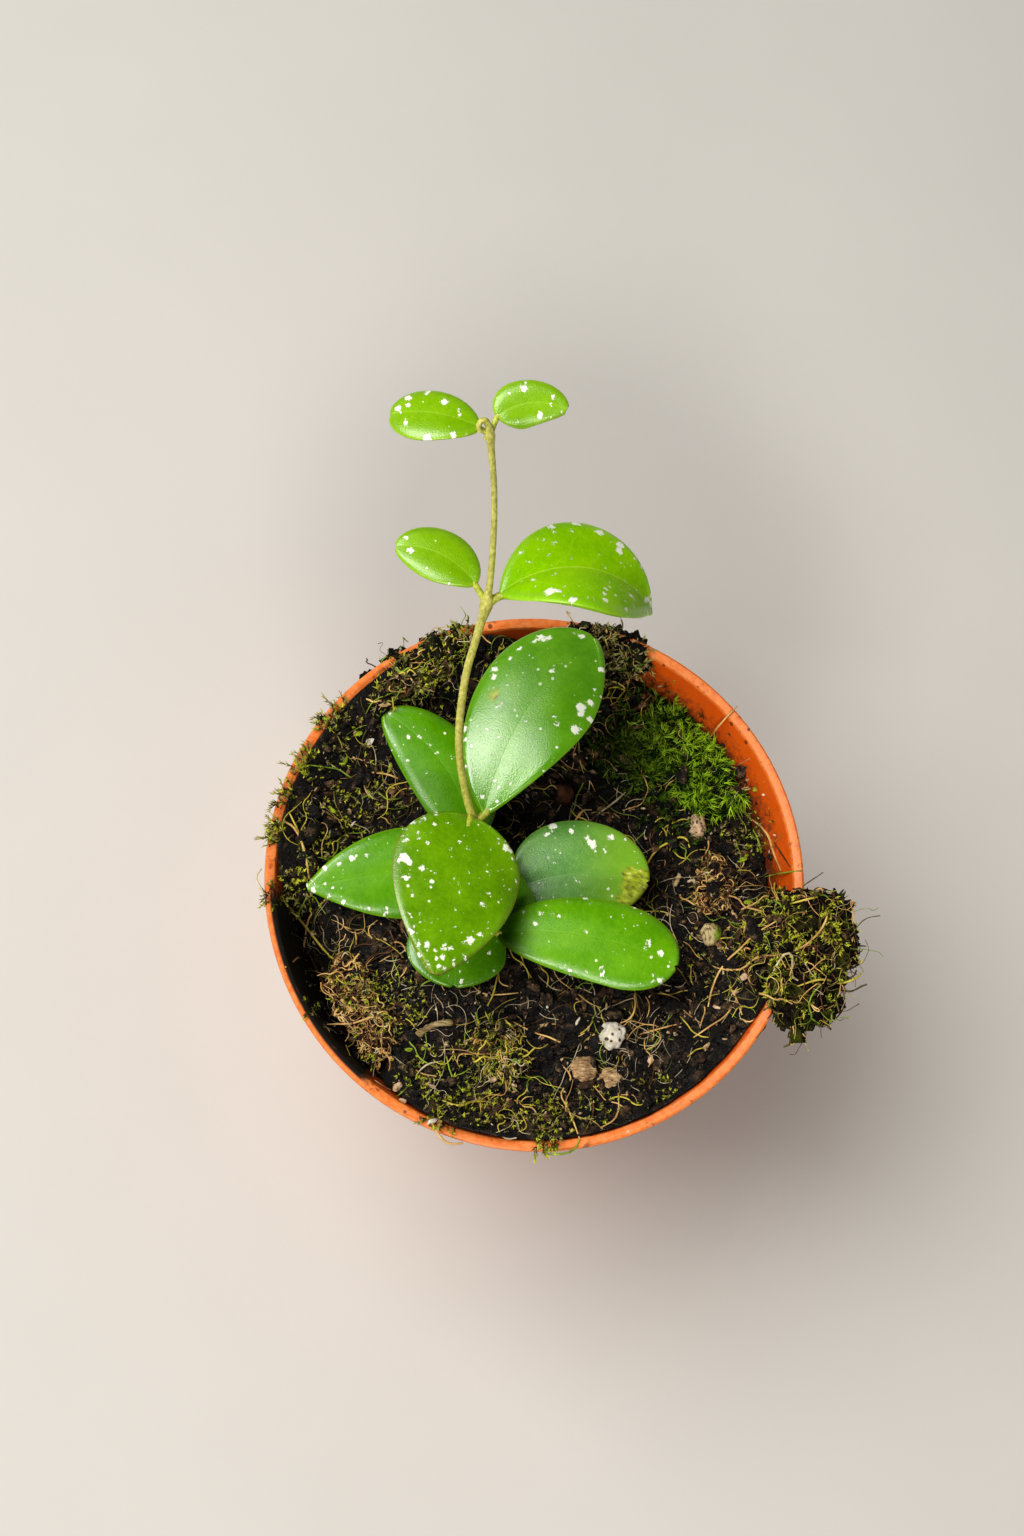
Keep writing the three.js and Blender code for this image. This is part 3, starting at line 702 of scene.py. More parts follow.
def roughen(bm, amount, size, seed, octaves=3):
    """Moves vertices along their normals by noise of the given size, both in millimetres."""
    bm.normal_update()
    offset = Vector([seed * step for step in NOISE_STEP])
    for vert in bm.verts:
        height = noise.fractal(vert.co / (size * MM) + offset, 0.8, 2.1, octaves)
        vert.co += vert.normal * (height * amount * MM)


def copy_of(node):
    """A bmesh of a CAD node's solid with its loose triangles merged."""
    bm = bmesh.new()
    bm.from_mesh(nodes[node].data)
    bmesh.ops.remove_doubles(bm, verts=bm.verts, dist=MERGE_DISTANCE)
    return bm


def keep(piece, slot, *replaced):
    """Puts a piece on the plant's one body and hides the nodes that it replaces."""
    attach(piece, "root")
    if replaced:
        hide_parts(*replaced)
    return piece


def tree_of(mesh):
    """A search tree over a mesh's faces."""
    points = [vert.co for vert in mesh.vertices]
    return BVHTree.FromPolygons(points, [face.vertices for face in mesh.polygons])


def from_above(tree, x, y, start=RAY_START):
    """The first point that a ray straight down meets at (x, y) in millimetres, and its normal."""
    return tree.ray_cast(Vector((x * MM, y * MM, start * MM)), -UP)[:2]


class Ground:
    """Everything that loose bits can lie on, looked at from above."""

    def __init__(self):
        self.trees = []

    def add(self, mesh):
        self.trees.append(tree_of(mesh))

    def hit(self, x, y):
        """The highest point and its normal at (x, y), in millimetres, or None beside the pot."""
        best = None
        for tree in self.trees:
            point, normal = from_above(tree, x, y)
            if point and (best is None or point.z > best[0].z):
                best = (point, normal)
        return best

    def height(self, x, y, beside=POT_HEIGHT):
        found = self.hit(x, y)
        return found[0].z / MM if found else beside


# Pot

def wall_radius(height):
    """The inner wall's radius at a height: it flares towards the lip."""
    flare = (LIP_EDGE - LIP_INNER) * max(0.0, (height - FLARE_LOW) / (POT_HEIGHT - FLARE_LOW))
    return lerp(FLOOR_RADIUS, LIP_INNER, (height - FLOOR_TOP) / (POT_HEIGHT - FLOOR_TOP)) + flare


def make_pot():
    """The turned wall with its folded lip, two raised rings outside and drain holes."""
    outer = [
        (0, 0), (34.2, 0), (35.4, 0.3), (36.0, 1.0), (36.5, 2.4),
        (wall_radius(17.5) + WALL, 17.5), (wall_radius(18) + WALL + 0.35, 18.1),
        (wall_radius(20) + WALL + 0.35, 20), (wall_radius(20.6) + WALL, 20.6),
        (wall_radius(66) + WALL, 66), (wall_radius(66.6) + WALL + 0.35, 66.6),
        (wall_radius(68) + WALL + 0.35, 68), (wall_radius(68.6) + WALL, 68.6),
        (wall_radius(FLARE_LOW) + 0.7, FLARE_LOW), (wall_radius(LIP_UNDERSIDE) + 0.5, LIP_UNDERSIDE),
        (51.5, LIP_UNDERSIDE), (50.2, SKIRT_LOW + 0.3), (50.4, SKIRT_LOW), (50.9, SKIRT_LOW),
        (51.1, SKIRT_LOW + 0.3), (52.4, 88.6), (52.5, 89.3), (52.35, 89.8), (52.0, POT_HEIGHT),
    ]
    inner = [
        (51.5, 89.94), (50.9, 89.76), (50.6, 89.62), (50.46, 89.4), (wall_radius(88.6), 88.6),
        (wall_radius(FLARE_LOW), FLARE_LOW), (wall_radius(40), 40), (wall_radius(4), 4), (34.6, 2.6),
        (33.8, FLOOR_TOP), (0, FLOOR_TOP),
    ]
    bm = bmesh.new()
    ring = [bm.verts.new((radius * MM, 0, height * MM)) for radius, height in outer + inner]
    edges = [bm.edges.new(pair) for pair in zip(ring, ring[1:])]
    bmesh.ops.spin(bm, geom=ring + edges, axis=UP, cent=CENTRE, angle=FULL_TURN, steps=POT_STEPS,
                   use_merge=True)
    bmesh.ops.remove_doubles(bm, verts=bm.verts, dist=MERGE_DISTANCE)
    bmesh.ops.recalc_face_normals(bm, faces=bm.faces)
    pot = piece_from(bm, "pot_shell", plastic)

    cutter = bmesh.new()
    for hole in range(DRAIN_HOLES):
        angle = FULL_TURN * hole / DRAIN_HOLES
        spot = Vector((math.cos(angle), math.sin(angle), 0)) * DRAIN_RING * MM
        bmesh.ops.create_cone(cutter, cap_ends=True, segments=DRAIN_SEGMENTS, radius1=DRAIN_RADIUS * MM,
                              radius2=DRAIN_RADIUS * MM, depth=DRAIN_DEPTH * MM,
                              matrix=Matrix.Translation(spot))
    drill = piece_from(cutter, "drill", plastic)
    modified(pot, ("BOOLEAN", {"operation": "DIFFERENCE", "object": drill, "solver": "EXACT"}))
    bpy.data.objects.remove(drill)
    pot.data.set_sharp_from_angle(angle=SHARP_ANGLE)
    return keep(pot, "pot_plastic", "pot")


pot = make_pot()


# Potting mix

MIX_CELLS = 168
MIX_EDGE_GAP = 0.3
MIX_SEARCH = 0.1
MIX_BOTTOM = 2.6
EDGE_STEPS = 180
FACES_UP = 0.25
MIX_RAY_START = 120
STEM_REACH = 0.75
STEM_HOLE = 6
CLOD_SIZE = 5.2
CRUMB_SIZE = 1.6

# Banks of mix against the wall, as (first turn, last turn, height, turn of its first slope, of its last)
BANKS = [(78, 188, 8.6, 22, 14), (232, 352, 8.2, 14, 12)]
BANK_START = 0.74
BANK_SPREAD = 0.25
BANK_CURVE = 1.5


def mix_edge(tree, angle):
    """The radius at which the CAD mix ends, seen from above at an angle."""
    radius = LIP_INNER
    while radius > FLOOR_RADIUS:
        point, normal = from_above(tree, radius * math.cos(angle), radius * math.sin(angle))
        if point and normal.z > FACES_UP:
            return radius
        radius -= MIX_SEARCH
    return radius


def lip_bank(turn):
    """How far the mix is heaped up against the wall at a turn in degrees."""
    for first, last, height, rise, fall in BANKS:
        if first <= turn <= last:
            return height * min(1, (turn - first) / rise, (last - turn) / fall)
    return 0.0


def make_mix():
    """The relief of the mix, with a body down to the pot's floor."""
    tree = tree_of(nodes["potting_soil"].data)
    edge = [mix_edge(tree, FULL_TURN * step / EDGE_STEPS) for step in range(EDGE_STEPS)]
    bm = bmesh.new()
    bmesh.ops.create_grid(bm, x_segments=MIX_CELLS, y_segments=MIX_CELLS, size=1)
    for vert in bm.verts:
        # The square grid is drawn in to a disc, and that out to the mix's edge
        x, y = vert.co.x, vert.co.y
        disc = Vector((x * math.sqrt(1 - y * y / 2), y * math.sqrt(1 - x * x / 2)))
        place = (math.atan2(disc.y, disc.x) / FULL_TURN % 1) * EDGE_STEPS
        low = int(place)
        reach = lerp(edge[low % EDGE_STEPS], edge[(low + 1) % EDGE_STEPS], place - low)
        x, y = disc * reach

        # The stems' holes are closed, and clods and crumbs added to the relief
        point, _ = from_above(tree, x, y, MIX_RAY_START)
        plane = MIX_LEVEL + MIX_SLOPE_X * x + MIX_SLOPE_Y * y
        height = point.z / MM if point else plane
        if disc.length < STEM_REACH and height < plane - STEM_HOLE:
            height = plane
        spot = Vector((x, y, 0))
        clods = noise.hetero_terrain(spot / CLOD_SIZE, 0.9, 2.1, 4, 0.6) - 0.6
        crumbs = abs(noise.fractal(spot / CRUMB_SIZE, 0.7, 2.2, 3))
        turn = math.degrees(math.atan2(y, x)) % 360
        bank = lip_bank(turn) * (max(0.0, disc.length - BANK_START) / (1 - BANK_START)) ** BANK_CURVE
        x, y = Vector((x, y)) * (1 + bank * BANK_SPREAD / reach)
        height += bank
        height += 0.7 * clods + 1.1 * crumbs * min(1, 4 * (1 - disc.length) + 0.3) - 0.4
        vert.co = Vector((x, y, height)) * MM
    border = [item for item in bm.edges if item.is_boundary]
    wall = bmesh.ops.extrude_edge_only(bm, edges=border)["geom"]
    for vert in (item for item in wall if isinstance(item, bmesh.types.BMVert)):
        around = Vector((vert.co.x, vert.co.y)).normalized() * (wall_radius(MIX_BOTTOM) - MIX_EDGE_GAP) * MM
        vert.co = Vector((around.x, around.y, MIX_BOTTOM * MM))
    bmesh.ops.holes_fill(bm, edges=[item for item in bm.edges if item.is_boundary], sides=0)
    bmesh.ops.recalc_face_normals(bm, faces=bm.faces)
    return keep(piece_from(bm, "mix_relief", peat), "potting_mix", "potting_soil")


mix = make_mix()
ground = Ground()
ground.add(mix.data)
ground.add(pot.data)


# Moss and fibre pads: a matted body on the CAD solid, covered with sprigs and loose hair

class Pad(NamedTuple):
    """patch is the size of its green patches, bare how much is left without sprigs, and heart the place
    that they thin out from, as (x, y, radius). tuck is how far its outer part is drawn back to the rim,
    and dents how deep its larger hollows are."""
    node: str
    slot: str
    body: object
    seed: int
    sprigs: tuple
    cover: int
    patch: float
    bare: float
    size: tuple
    hair: dict
    hair_length: float = 7.0
    curl: float = 0.9
    heart: tuple = (0, 0, 200)
    tuck: float = 0.0
    dents: float = 1.3


LEAF_TURN = 2.4


def make_shoot(name, finish, leaflets, height, length, width, spread, seed, bend):
    """A moss shoot: narrow pointed leaves up a stem, more upright towards its tip. Z is its stem."""
    draw = random.Random(seed)
    bm = bmesh.new()
    tip = bm.verts.layers.float.new("tip")
    for index in range(leaflets):
        share = index / max(1, leaflets - 1)
        turn = index * LEAF_TURN + draw.uniform(-0.4, 0.4)
        lean = math.radians(lerp(spread, 12, share ** 1.5) + draw.uniform(-9, 9))
        long = length * lerp(1.0, 0.75, share) * draw.uniform(0.8, 1.2)
        sway = Vector((bend * share * share, 0, share * height * (1 - 0.25 * abs(bend) * share)))
        place = Matrix.Translation(sway * MM) @ Matrix.Rotation(turn, 4, "Z")
        place = place @ Matrix.Rotation(lean, 4, "Y") @ Matrix.Translation((0, 0, long * MM / 2))
        made = bmesh.ops.create_cone(bm, cap_ends=True, segments=3, radius1=width * MM, radius2=0,
                                     depth=long * MM, matrix=place)
        outer = max(made["verts"], key=lambda vert: (vert.co - sway * MM).length)
        for vert in made["verts"]:
            vert[tip] = 0.75 * share + (0.3 if vert is outer else 0.0)
    return mesh_from(bm, name, finish)


def scattered_on(mesh, count, draw):
    """Points, with normals, spread evenly over a mesh. Both come in metres."""
    mesh.calc_loop_triangles()
    faces = mesh.loop_triangles
    total, weights = 0.0, []
    for face in faces:
        total += face.area
        weights.append(total)
    for face in draw.choices(faces, cum_weights=weights, k=count):
        a, b, c = (mesh.vertices[index].co for index in face.vertices)
        u, v = draw.random(), draw.random()
        if u + v > 1:
            u, v = 1 - u, 1 - v
        yield a + (b - a) * u + (c - a) * v, face.normal.copy()


TURNS = 6.3


def jitter(draw, amount):
    return Vector((draw.uniform(-1, 1), draw.uniform(-1, 1), draw.uniform(-1, 1))) * amount


VOXEL = 0.5
SMOOTHINGS = 5
SHRINK = 0.4
TUCK_START = RIM_RADIUS - 2


def pad_body(pad):
    """The CAD solid as one soft body, tucked in over the rim and dented."""
    body = piece_from(copy_of(pad.node), pad.node + "_body", pad.body)
    modified(body, ("REMESH", {"mode": "VOXEL", "voxel_size": VOXEL * MM}))
    bm = bmesh.new()
    bm.from_mesh(body.data)
    for _ in range(SMOOTHINGS):
        bmesh.ops.smooth_vert(bm, verts=bm.verts, factor=0.5, use_axis_x=True, use_axis_y=True,
                              use_axis_z=True)
    for vert in bm.verts:
        radius = math.hypot(vert.co.x, vert.co.y) / MM
        over = (radius - TUCK_START) * pad.tuck
        if over > 0:
            vert.co.xy *= 1 - over / radius
            vert.co.z -= 0.25 * over * MM
    bm.normal_update()
    for vert in bm.verts:
        vert.co -= vert.normal * SHRINK * pad.dents * MM
    roughen(bm, pad.dents, 4.2, pad.seed)
    roughen(bm, 1.0, 1.1, pad.seed + 5)
    bm.to_mesh(body.data)
    bm.free()
    body.data.shade_smooth()
    return body


LOWEST_FACING = -0.3
BURIED = 0.4


def shows(point, normal):
    """Whether a point on a pad is in the open, above the mix and the pot."""
    under = ground.height(point.x / MM, point.y / MM, 0)
    return normal.z > LOWEST_FACING and under < point.z / MM + BURIED


CLOSEST_KNOTS = 0.4
HAIR_RADII = (0.06, 0.07, 0.08, 0.1, 0.12, 0.15, 0.2)
HAIR_KNOTS = 5
HAIR_TRIES = 3
STANDING_SHARE = 0.16


def hair_on(body, count, length, curl, draw):
    """Hairs that creep over a pad, with some that stand off it."""
    tree = tree_of(body)
    runs = []
    for point, normal in scattered_on(body, count * HAIR_TRIES, draw):
        if len(runs) == count:
            break
        if not shows(point, normal):
            continue
        way = (normal * 0.2 + jitter(draw, 1.0)).normalized()
        spot = point / MM
        radius = draw.choice(HAIR_RADII)
        standing = draw.random() < STANDING_SHARE
        lift = draw.uniform(0.1, 0.9)
        run = [(spot - normal * 0.3, radius)]
        stretch = length * draw.uniform(0.5, 1.3) / HAIR_KNOTS
        for _ in range(HAIR_KNOTS):
            way = (way + jitter(draw, curl)).normalized()
            spot = spot + way * stretch
            if not standing:
                near, facing, _, _ = tree.find_nearest(spot * MM)
                spot = near / MM + facing * lift
            if (spot - run[-1][0]).length > CLOSEST_KNOTS:
                run.append((spot.copy(), radius * draw.uniform(0.7, 1.1)))
        if len(run) > 2:
            runs.append(run)
    return runs


SPRIG_TRIES = 6
SPRIG_RISE = 0.35
SPRIG_SINK = 0.4
THINNING = 0.6
THIN_FROM = 0.7


def dress_pad(pad):
    """Makes a pad's body, its sprigs and its hair, and puts all three on the plant's body."""
    draw = random.Random(pad.seed)
    body = pad_body(pad)
    keep(body, pad.slot, pad.node)
    heart_x, heart_y, heart_radius = pad.heart
    places = []
    for point, normal in scattered_on(body.data, pad.cover * SPRIG_TRIES, draw):
        if len(places) >= pad.cover:
            break
        away = math.hypot(point.x / MM - heart_x, point.y / MM - heart_y) / heart_radius
        growth = noise.noise(point / (pad.patch * MM) + Vector((pad.seed, 0, 0)))
        if not shows(point, normal) or growth < pad.bare + THINNING * max(0.0, away - THIN_FROM):
            continue
        way = (normal + UP * SPRIG_RISE + jitter(draw, 0.7)).normalized()
        scale = draw.uniform(*pad.size)
        sprig = draw.choice(pad.sprigs)
        turn = draw.uniform(0, TURNS)
        size = (scale, scale, scale * draw.uniform(0.8, 1.25))
        stand = placing(point / MM - way * SPRIG_SINK, way, turn, size)
        places.append((sprig, stand))
    keep(set_out(pad.node + "_sprigs", places), pad.slot)
    for colour, count in pad.hair.items():
        runs = hair_on(body.data, count, pad.hair_length, pad.curl, draw)
        keep(tubes(f"{pad.node}_hair_{colour}", runs, STRAND_COLOURS[colour]), "coir_fibre")
    return body


moss_green = sprig_finish("olive_moss", (10, 10, 4), (92, 98, 18), (216, 220, 76), (190, 164, 92), 0.22)
moss_grey = sprig_finish("grey_moss", (12, 11, 6), (84, 84, 40), (186, 182, 108), (198, 176, 126), 0.3)
# painted shade: the star moss darkens towards x = 15 mm, under the leaves' shadow
moss_star = sprig_finish("star_moss", (4, 10, 1), (50, 96, 2), (186, 226, 52), (160, 170, 66), 0.05, 15, 36)
# a darker copy of the moss: painted shade for the patches in the leaves' shadow
moss_painted_shade = sprig_finish("shaded_moss", (5, 9, 2), (30, 54, 6), (88, 122, 24), (96, 96, 40), 0.12)
felt_olive = felt_finish("olive_felt", (34, 25, 17), (122, 98, 66), (84, 88, 22), 0.2)
felt_grey = felt_finish("grey_felt", (26, 21, 16), (112, 96, 72), (56, 56, 24), 0.2)
felt_star = felt_finish("star_felt", (10, 12, 5), (30, 38, 12), (24, 44, 5), 0.4)
felt_coir = felt_finish("coir_felt", (60, 38, 22), (166, 120, 76), (80, 74, 28), 0.14)



def shoots(name, finish, leaflets, height, length, width, spread, bends):
    """One shoot for each seed in bends, which says how far it leans over."""
    return tuple(make_shoot(f"{name}_{seed}", finish, leaflets, height, length, width, spread, seed, bend)
                 for seed, bend in bends.items())


feather = shoots("feather", moss_green, 10, 2.6, 1.1, 0.17, 58, {1: 0.9, 2: -0.7, 3: 1.4})
tangle = shoots("tangle", moss_grey, 9, 3.2, 1.2, 0.16, 44, {4: 1.6, 5: -1.3, 6: 0.5})
star = shoots("star", moss_star, 13, 3.8, 2.2, 0.12, 62, {7: 0.6, 8: -0.9, 9: 1.3, 15: 2.0})
shade = shoots("shade", moss_painted_shade, 10, 2.8, 1.5, 0.13, 60, {10: 0.4, 11: -0.6})
rosette = shoots("rosette", moss_green, 6, 0.9, 1.2, 0.36, 74, {12: 0.2, 13: -0.2})

PADS = [
    Pad("moss_clod_overhang", "moss", felt_olive, 3, feather, 560, 3.4, 0.04, (0.5, 1.0),
        {"tan": 110, "yellow": 70, "brown": 150, "green": 50, "olive": 150, "pale": 20}, 8.0, 0.7,
        (49, -11, 11), dents=2.6),
    Pad("moss_mat_back", "moss", felt_grey, 5, tangle, 240, 2.6, 0.08, (0.5, 1.2),
        {"pale": 60, "tan": 60, "brown": 80, "olive": 100}, 6.0, 1.0, tuck=0.5, dents=2.2),
    Pad("moss_mat_back_left", "moss", felt_grey, 8, tangle + feather, 250, 2.2, 0.12, (0.5, 1.3),
        {"tan": 60, "brown": 80, "green": 90, "olive": 170, "yellow": 40, "pale": 30}, 6.0, 1.2, tuck=0.7,
        dents=2.8),
    Pad("star_moss_cushion", "star_moss", felt_star, 11, star, 760, 3.4, -0.1, (0.5, 1.3),
        {"green": 40, "olive": 30, "pale": 10}, 5.0, 0.7, (31, 26, 15), dents=2.0),
    Pad("fibre_mat_left", "coir_fibre", felt_coir, 14, feather, 120, 3.0, 0.05, (0.5, 0.9),
        {"brown": 220, "tan": 260, "pale": 30}, 5.0, 1.1),
    Pad("moss_tangle_front", "moss", felt_olive, 17, feather + tangle, 100, 2.0, 0.14, (0.5, 1.0),
        {"yellow": 90, "tan": 60, "pale": 60, "olive": 120, "green": 40, "brown": 60}, 5.0, 1.1, dents=2.6),
    Pad("coir_lump", "coir_fibre", felt_coir, 21, tangle, 60, 3.0, 0.1, (0.4, 0.8),
        {"brown": 180, "tan": 160, "pale": 20}, 4.0, 1.1),
]
pad_bodies = [dress_pad(pad) for pad in PADS]
for body in pad_bodies:
    ground.add(body.data)


# Loose cover of the mix: crumbs, bark, grit, small moss and roots

def make_lumps(name, finish, count, subdivisions, flatness, seed):
    """Broken crumbs about one millimetre across: dented balls with facets."""
    lumps = []
    draw = random.Random(seed)
    for index in range(count):
        bm = bmesh.new()
        bmesh.ops.create_icosphere(bm, subdivisions=subdivisions, radius=0.5 * MM)
        size = (1, draw.uniform(0.6, 0.9), flatness * draw.uniform(0.8, 1.2))
        bmesh.ops.scale(bm, vec=size, verts=bm.verts)
        roughen(bm, 0.34, 0.5, seed + index, 2)
        lumps.append(mesh_from(bm, f"{name}_{index}", finish))
    return lumps


def in_disc(draw, radius):
    angle, reach = draw.uniform(0, FULL_TURN), radius * math.sqrt(draw.random())
    return reach * math.cos(angle), reach * math.sin(angle)


def sprinkle(name, templates, count, sizes, draw, where, sink=0.2, length=(1.0, 1.0)):
    """Drops copies of small templates on the ground at places given by where(draw)."""
    places = []
    while len(places) < count:
        x, y = where(draw)
        found = ground.hit(x, y)
        if not found:
            continue
        point, normal = found
        size = lerp(*sizes, draw.random() ** 2)
        long = draw.uniform(*length)
        way = (normal + jitter(draw, 0.5)).normalized()
        spot = point / MM + UP * size * (0.5 - sink)
        stand = placing(spot, way, draw.uniform(0, TURNS), (size * long, size, size))
        places.append((draw.choice(templates), stand))
    return set_out(name, places)


COVER_RADIUS = 48.5
SHADED_MIDDLE = (-4, 4)
SHADED_RADIUS = 18
SHADED_SHARE = 0.3


def on_mix(draw):
    return in_disc(draw, COVER_RADIUS)


def away_from_centre(draw):
    """Places on the mix, fewer of them right under the leaves."""
    while True:
        spot = on_mix(draw)
        if math.dist(spot, SHADED_MIDDLE) > SHADED_RADIUS or draw.random() < SHADED_SHARE:
            return spot


def around(patches):
    """Places in round patches, given as (x, y, radius, weight)."""
    weights = [patch[3] for patch in patches]
    def where(draw):
        x, y, radius, _ = draw.choices(patches, weights)[0]
        dx, dy = in_disc(draw, radius)
        return x + dx, y + dy
    return where


grit_pale = stone_finish("pale_grit", (236, 210, 174), (168, 132, 98), (90, 66, 46), 0.8)
draw = random.Random(40)
peat_crumbs = make_lumps("peat_crumb", crumb_peat, 6, 1, 0.7, 50)
peat_clods = make_lumps("peat_clod", crumb_peat, 6, 2, 0.7, 60)
bark_bits = make_lumps("bark_bit", crumb_bark, 5, 1, 0.4, 70)
grit_bits = make_lumps("grit_bit", grit_pale, 4, 1, 0.7, 80)
keep(sprinkle("peat_crumbs", peat_crumbs, 4600, (0.4, 1.3), draw, on_mix), "potting_mix")
keep(sprinkle("peat_clods", peat_clods, 420, (1.3, 3.6), draw, on_mix, 0.35, (1.0, 1.6)), "potting_mix")
keep(sprinkle("bark_bits", bark_bits, 640, (0.4, 1.8), draw, away_from_centre, 0.1, (1.0, 2.4)), "bark")
keep(sprinkle("grit_bits", grit_bits, 900, (0.22, 0.9), draw, away_from_centre, 0.1, (1.0, 2.0)), "perlite")

GREEN_PATCHES = [
    (-38, 28, 11, 4), (-40, 8, 8, 3), (-33, 14, 7, 2), (-33, -22, 4, 2), (-27, -24, 6, 3), (-14, -37, 8, 3),
    (-12, -46, 7, 3), (1, -47, 6, 3), (-22, -40, 6, 2), (-20, 40, 9, 2), (-6, 42, 6, 2), (43, 12, 5, 2),
    (34, -14, 6, 1), (-47, -2, 4, 3), (12, -46, 6, 1), (22, -42, 5, 1),
]
# painted shade: where the leaves' shadow falls on the mix, as (x, y, radius, weight)
PAINTED_SHADE_PATCHES = [(20, 27, 8, 4), (30, 18, 9, 4), (36, 34, 6, 1), (14, 34, 7, 2), (22, 40, 7, 2)]
RIM_TUFTS = [
    (-44, 36, 4, 4), (-48.5, 30, 3, 4), (-50, 16, 3, 3), (-51, 8, 2.5, 3), (-34, 44, 4, 3), (-15, 50, 4, 2),
    (-50.5, -4, 2, 1), (-18, -47.5, 4, 2), (2, -50.5, 3, 2), (-44, -26, 3, 1), (-40, 32, 4, 3),
    (-46, 22, 3, 2),
]


RIM_LEAN = 0.9


def tufts(name, templates, count, patches, sizes, reach, seed):
    """Short moss shoots that stand out of the ground in patches, no further than reach from the middle."""
    draw = random.Random(seed)
    where = around(patches)
    places = []
    for _ in range(count):
        x, y = where(draw)
        found = ground.hit(x, y)
        if not found or math.hypot(x, y) > reach:
            continue
        point, normal = found
        outward = Vector((x, y, 0)) / RIM_RADIUS * (RIM_LEAN if reach > LIP_INNER else 0.0)
        way = (normal * 0.5 + UP * 0.5 + outward + jitter(draw, 0.7)).normalized()
        scale = draw.uniform(*sizes)
        stand = placing(point / MM - way * 0.3, way, draw.uniform(0, TURNS), [scale] * 3)
        places.append((draw.choice(templates), stand))
    return keep(set_out(name, places), "moss")


tufts("small_moss", feather + tangle + rosette, 1550, GREEN_PATCHES, (0.35, 0.95), 49.4, 90)
tufts("shaded_moss", shade, 560, PAINTED_SHADE_PATCHES, (0.6, 1.1), 49.0, 91)
tufts("rim_moss", tangle + feather, 620, RIM_TUFTS, (0.7, 1.3), RIM_RADIUS - 0.5, 92)

# Roots and straws that the photograph shows, seen from above, as (x, y) points
STRANDS = {
    "tan": [
        [(34, -24), (35, -20), (37, -16), (40, -13), (42, -11), (47, -8)],
        [(36, -16), (40, -17), (43, -15), (46, -15), (50, -14), (53, -12), (55, -9), (56, -6)],
        [(44, 16), (47, 11), (48, 7), (49, 3)],
        [(39, -23), (37, -26), (34, -28), (31, -30)],
        [(38, -20), (39, -23), (40, -26)],
        [(21, -29), (25, -28), (29, -27)],
        [(-4, -27), (0, -29), (3, -30), (6, -31), (10, -29)],
        [(5, -35), (7, -38), (5, -41), (6, -44), (7, -47), (8, -50)],
        [(16, -41), (15, -46), (12, -48)],
        [(-40, -3), (-44, -6), (-45, -11), (-46, -15), (-48, -18)],
        [(-49, 10), (-47, 9), (-45, 5), (-44, 0)],
        [(-37, 16), (-34, 21), (-30, 22), (-26, 21)],
        [(-40, -28), (-35, -28), (-30, -27), (-29, -29)],
        [(17, -27), (19, -26), (20, -24), (20, -21)],
        [(-20, -47), (-19, -49), (-17, -51), (-14, -51)],
        [(36, 31), (38, 33), (40, 35)],
    ],
    "brown": [
        [(-28, -6), (-28, -10), (-27, -13), (-32, -15), (-33, -18)],
        [(-18, 8), (-21, 3), (-20, -1)],
        [(10, -41), (11, -44), (9, -49)],
        [(48, 9), (50, 3)],
        [(-44, -12), (-42, -16), (-40, -20), (-39, -23)],
    ],
    "yellow": [
        [(50, -21), (54, -20), (59, -20), (62, -19), (63, -18)],
        [(23, 5), (25, 8), (28, 10), (31, 11), (32, 9)],
        [(-49, -4), (-45, -7), (-41, -12), (-38, -16)],
        [(-6, -15), (-7, -18), (-8, -22), (-9, -24)],
        [(-18, -43), (-15, -44), (-12, -43), (-9, -43)],
        [(-48, 12), (-46, 8), (-44, 3)],
        [(49, -5), (53, -4), (57, -3)],
    ],
    "green": [
        [(26, 33), (28, 38), (28, 41)],
        [(36, 20), (38, 19), (41, 18), (44, 16)],
        [(45, 14), (46, 10), (47, 5)],
        [(47, 3), (50, 2), (52, 2)],
        [(-17, -34), (-16, -38), (-14, -41)],
        [(8, -50), (7, -52), (4, -53), (2, -53)],
    ],
    "pale": [
        [(45, -19), (46, -17), (48, -15), (49, -17), (49, -19), (50, -20)],
        [(-53, 1), (-54, -1), (-53, -3), (-52, -5)],
        [(-9, -47), (-6, -50), (-4, -50)],
        [(13, 15), (17, 18), (19, 20)],
        [(38, 27), (40, 26), (42, 24)],
        [(-23, -38), (-21, -36), (-18, -35)],
    ],
}
WANDERING = {"tan": 170, "brown": 150, "yellow": 130, "green": 110, "pale": 240, "olive": 140}
FINE_COLOURS = ("pale", "olive")
FINE_RADIUS = 0.09
ROOT_RADIUS = 0.16
ROOT_START = 47
ROOT_END = 50
ROOT_LIFT = 0.9


def laid(path, lift, radius):
    """A run that follows (x, y) points over the ground and arches a little between them."""
    run = []
    for index, (x, y) in enumerate(path):
        ends = index in (0, len(path) - 1)
        height = ground.height(x, y) + (lift * 0.3 if ends else lift)
        run.append(((x, y, height), radius * (0.7 if ends else 1.0)))
    return run


def wandering(draw, radius):
    """A seeded root that wanders over the mix."""
    x, y = in_disc(draw, ROOT_START)
    heading = draw.uniform(0, FULL_TURN)
    path = []
    stretch = draw.uniform(0.9, 2.6)
    curl = draw.choice((0.5, 0.9, 1.5))
    for _ in range(draw.randint(3, 7)):
        if math.hypot(x, y) > ROOT_END:
            break
        path.append((x, y))
        heading += draw.uniform(-curl, curl)
        x += stretch * math.cos(heading)
        y += stretch * math.sin(heading)
    return laid(path, draw.uniform(0.2, 1.1), radius) if len(path) > 2 else None


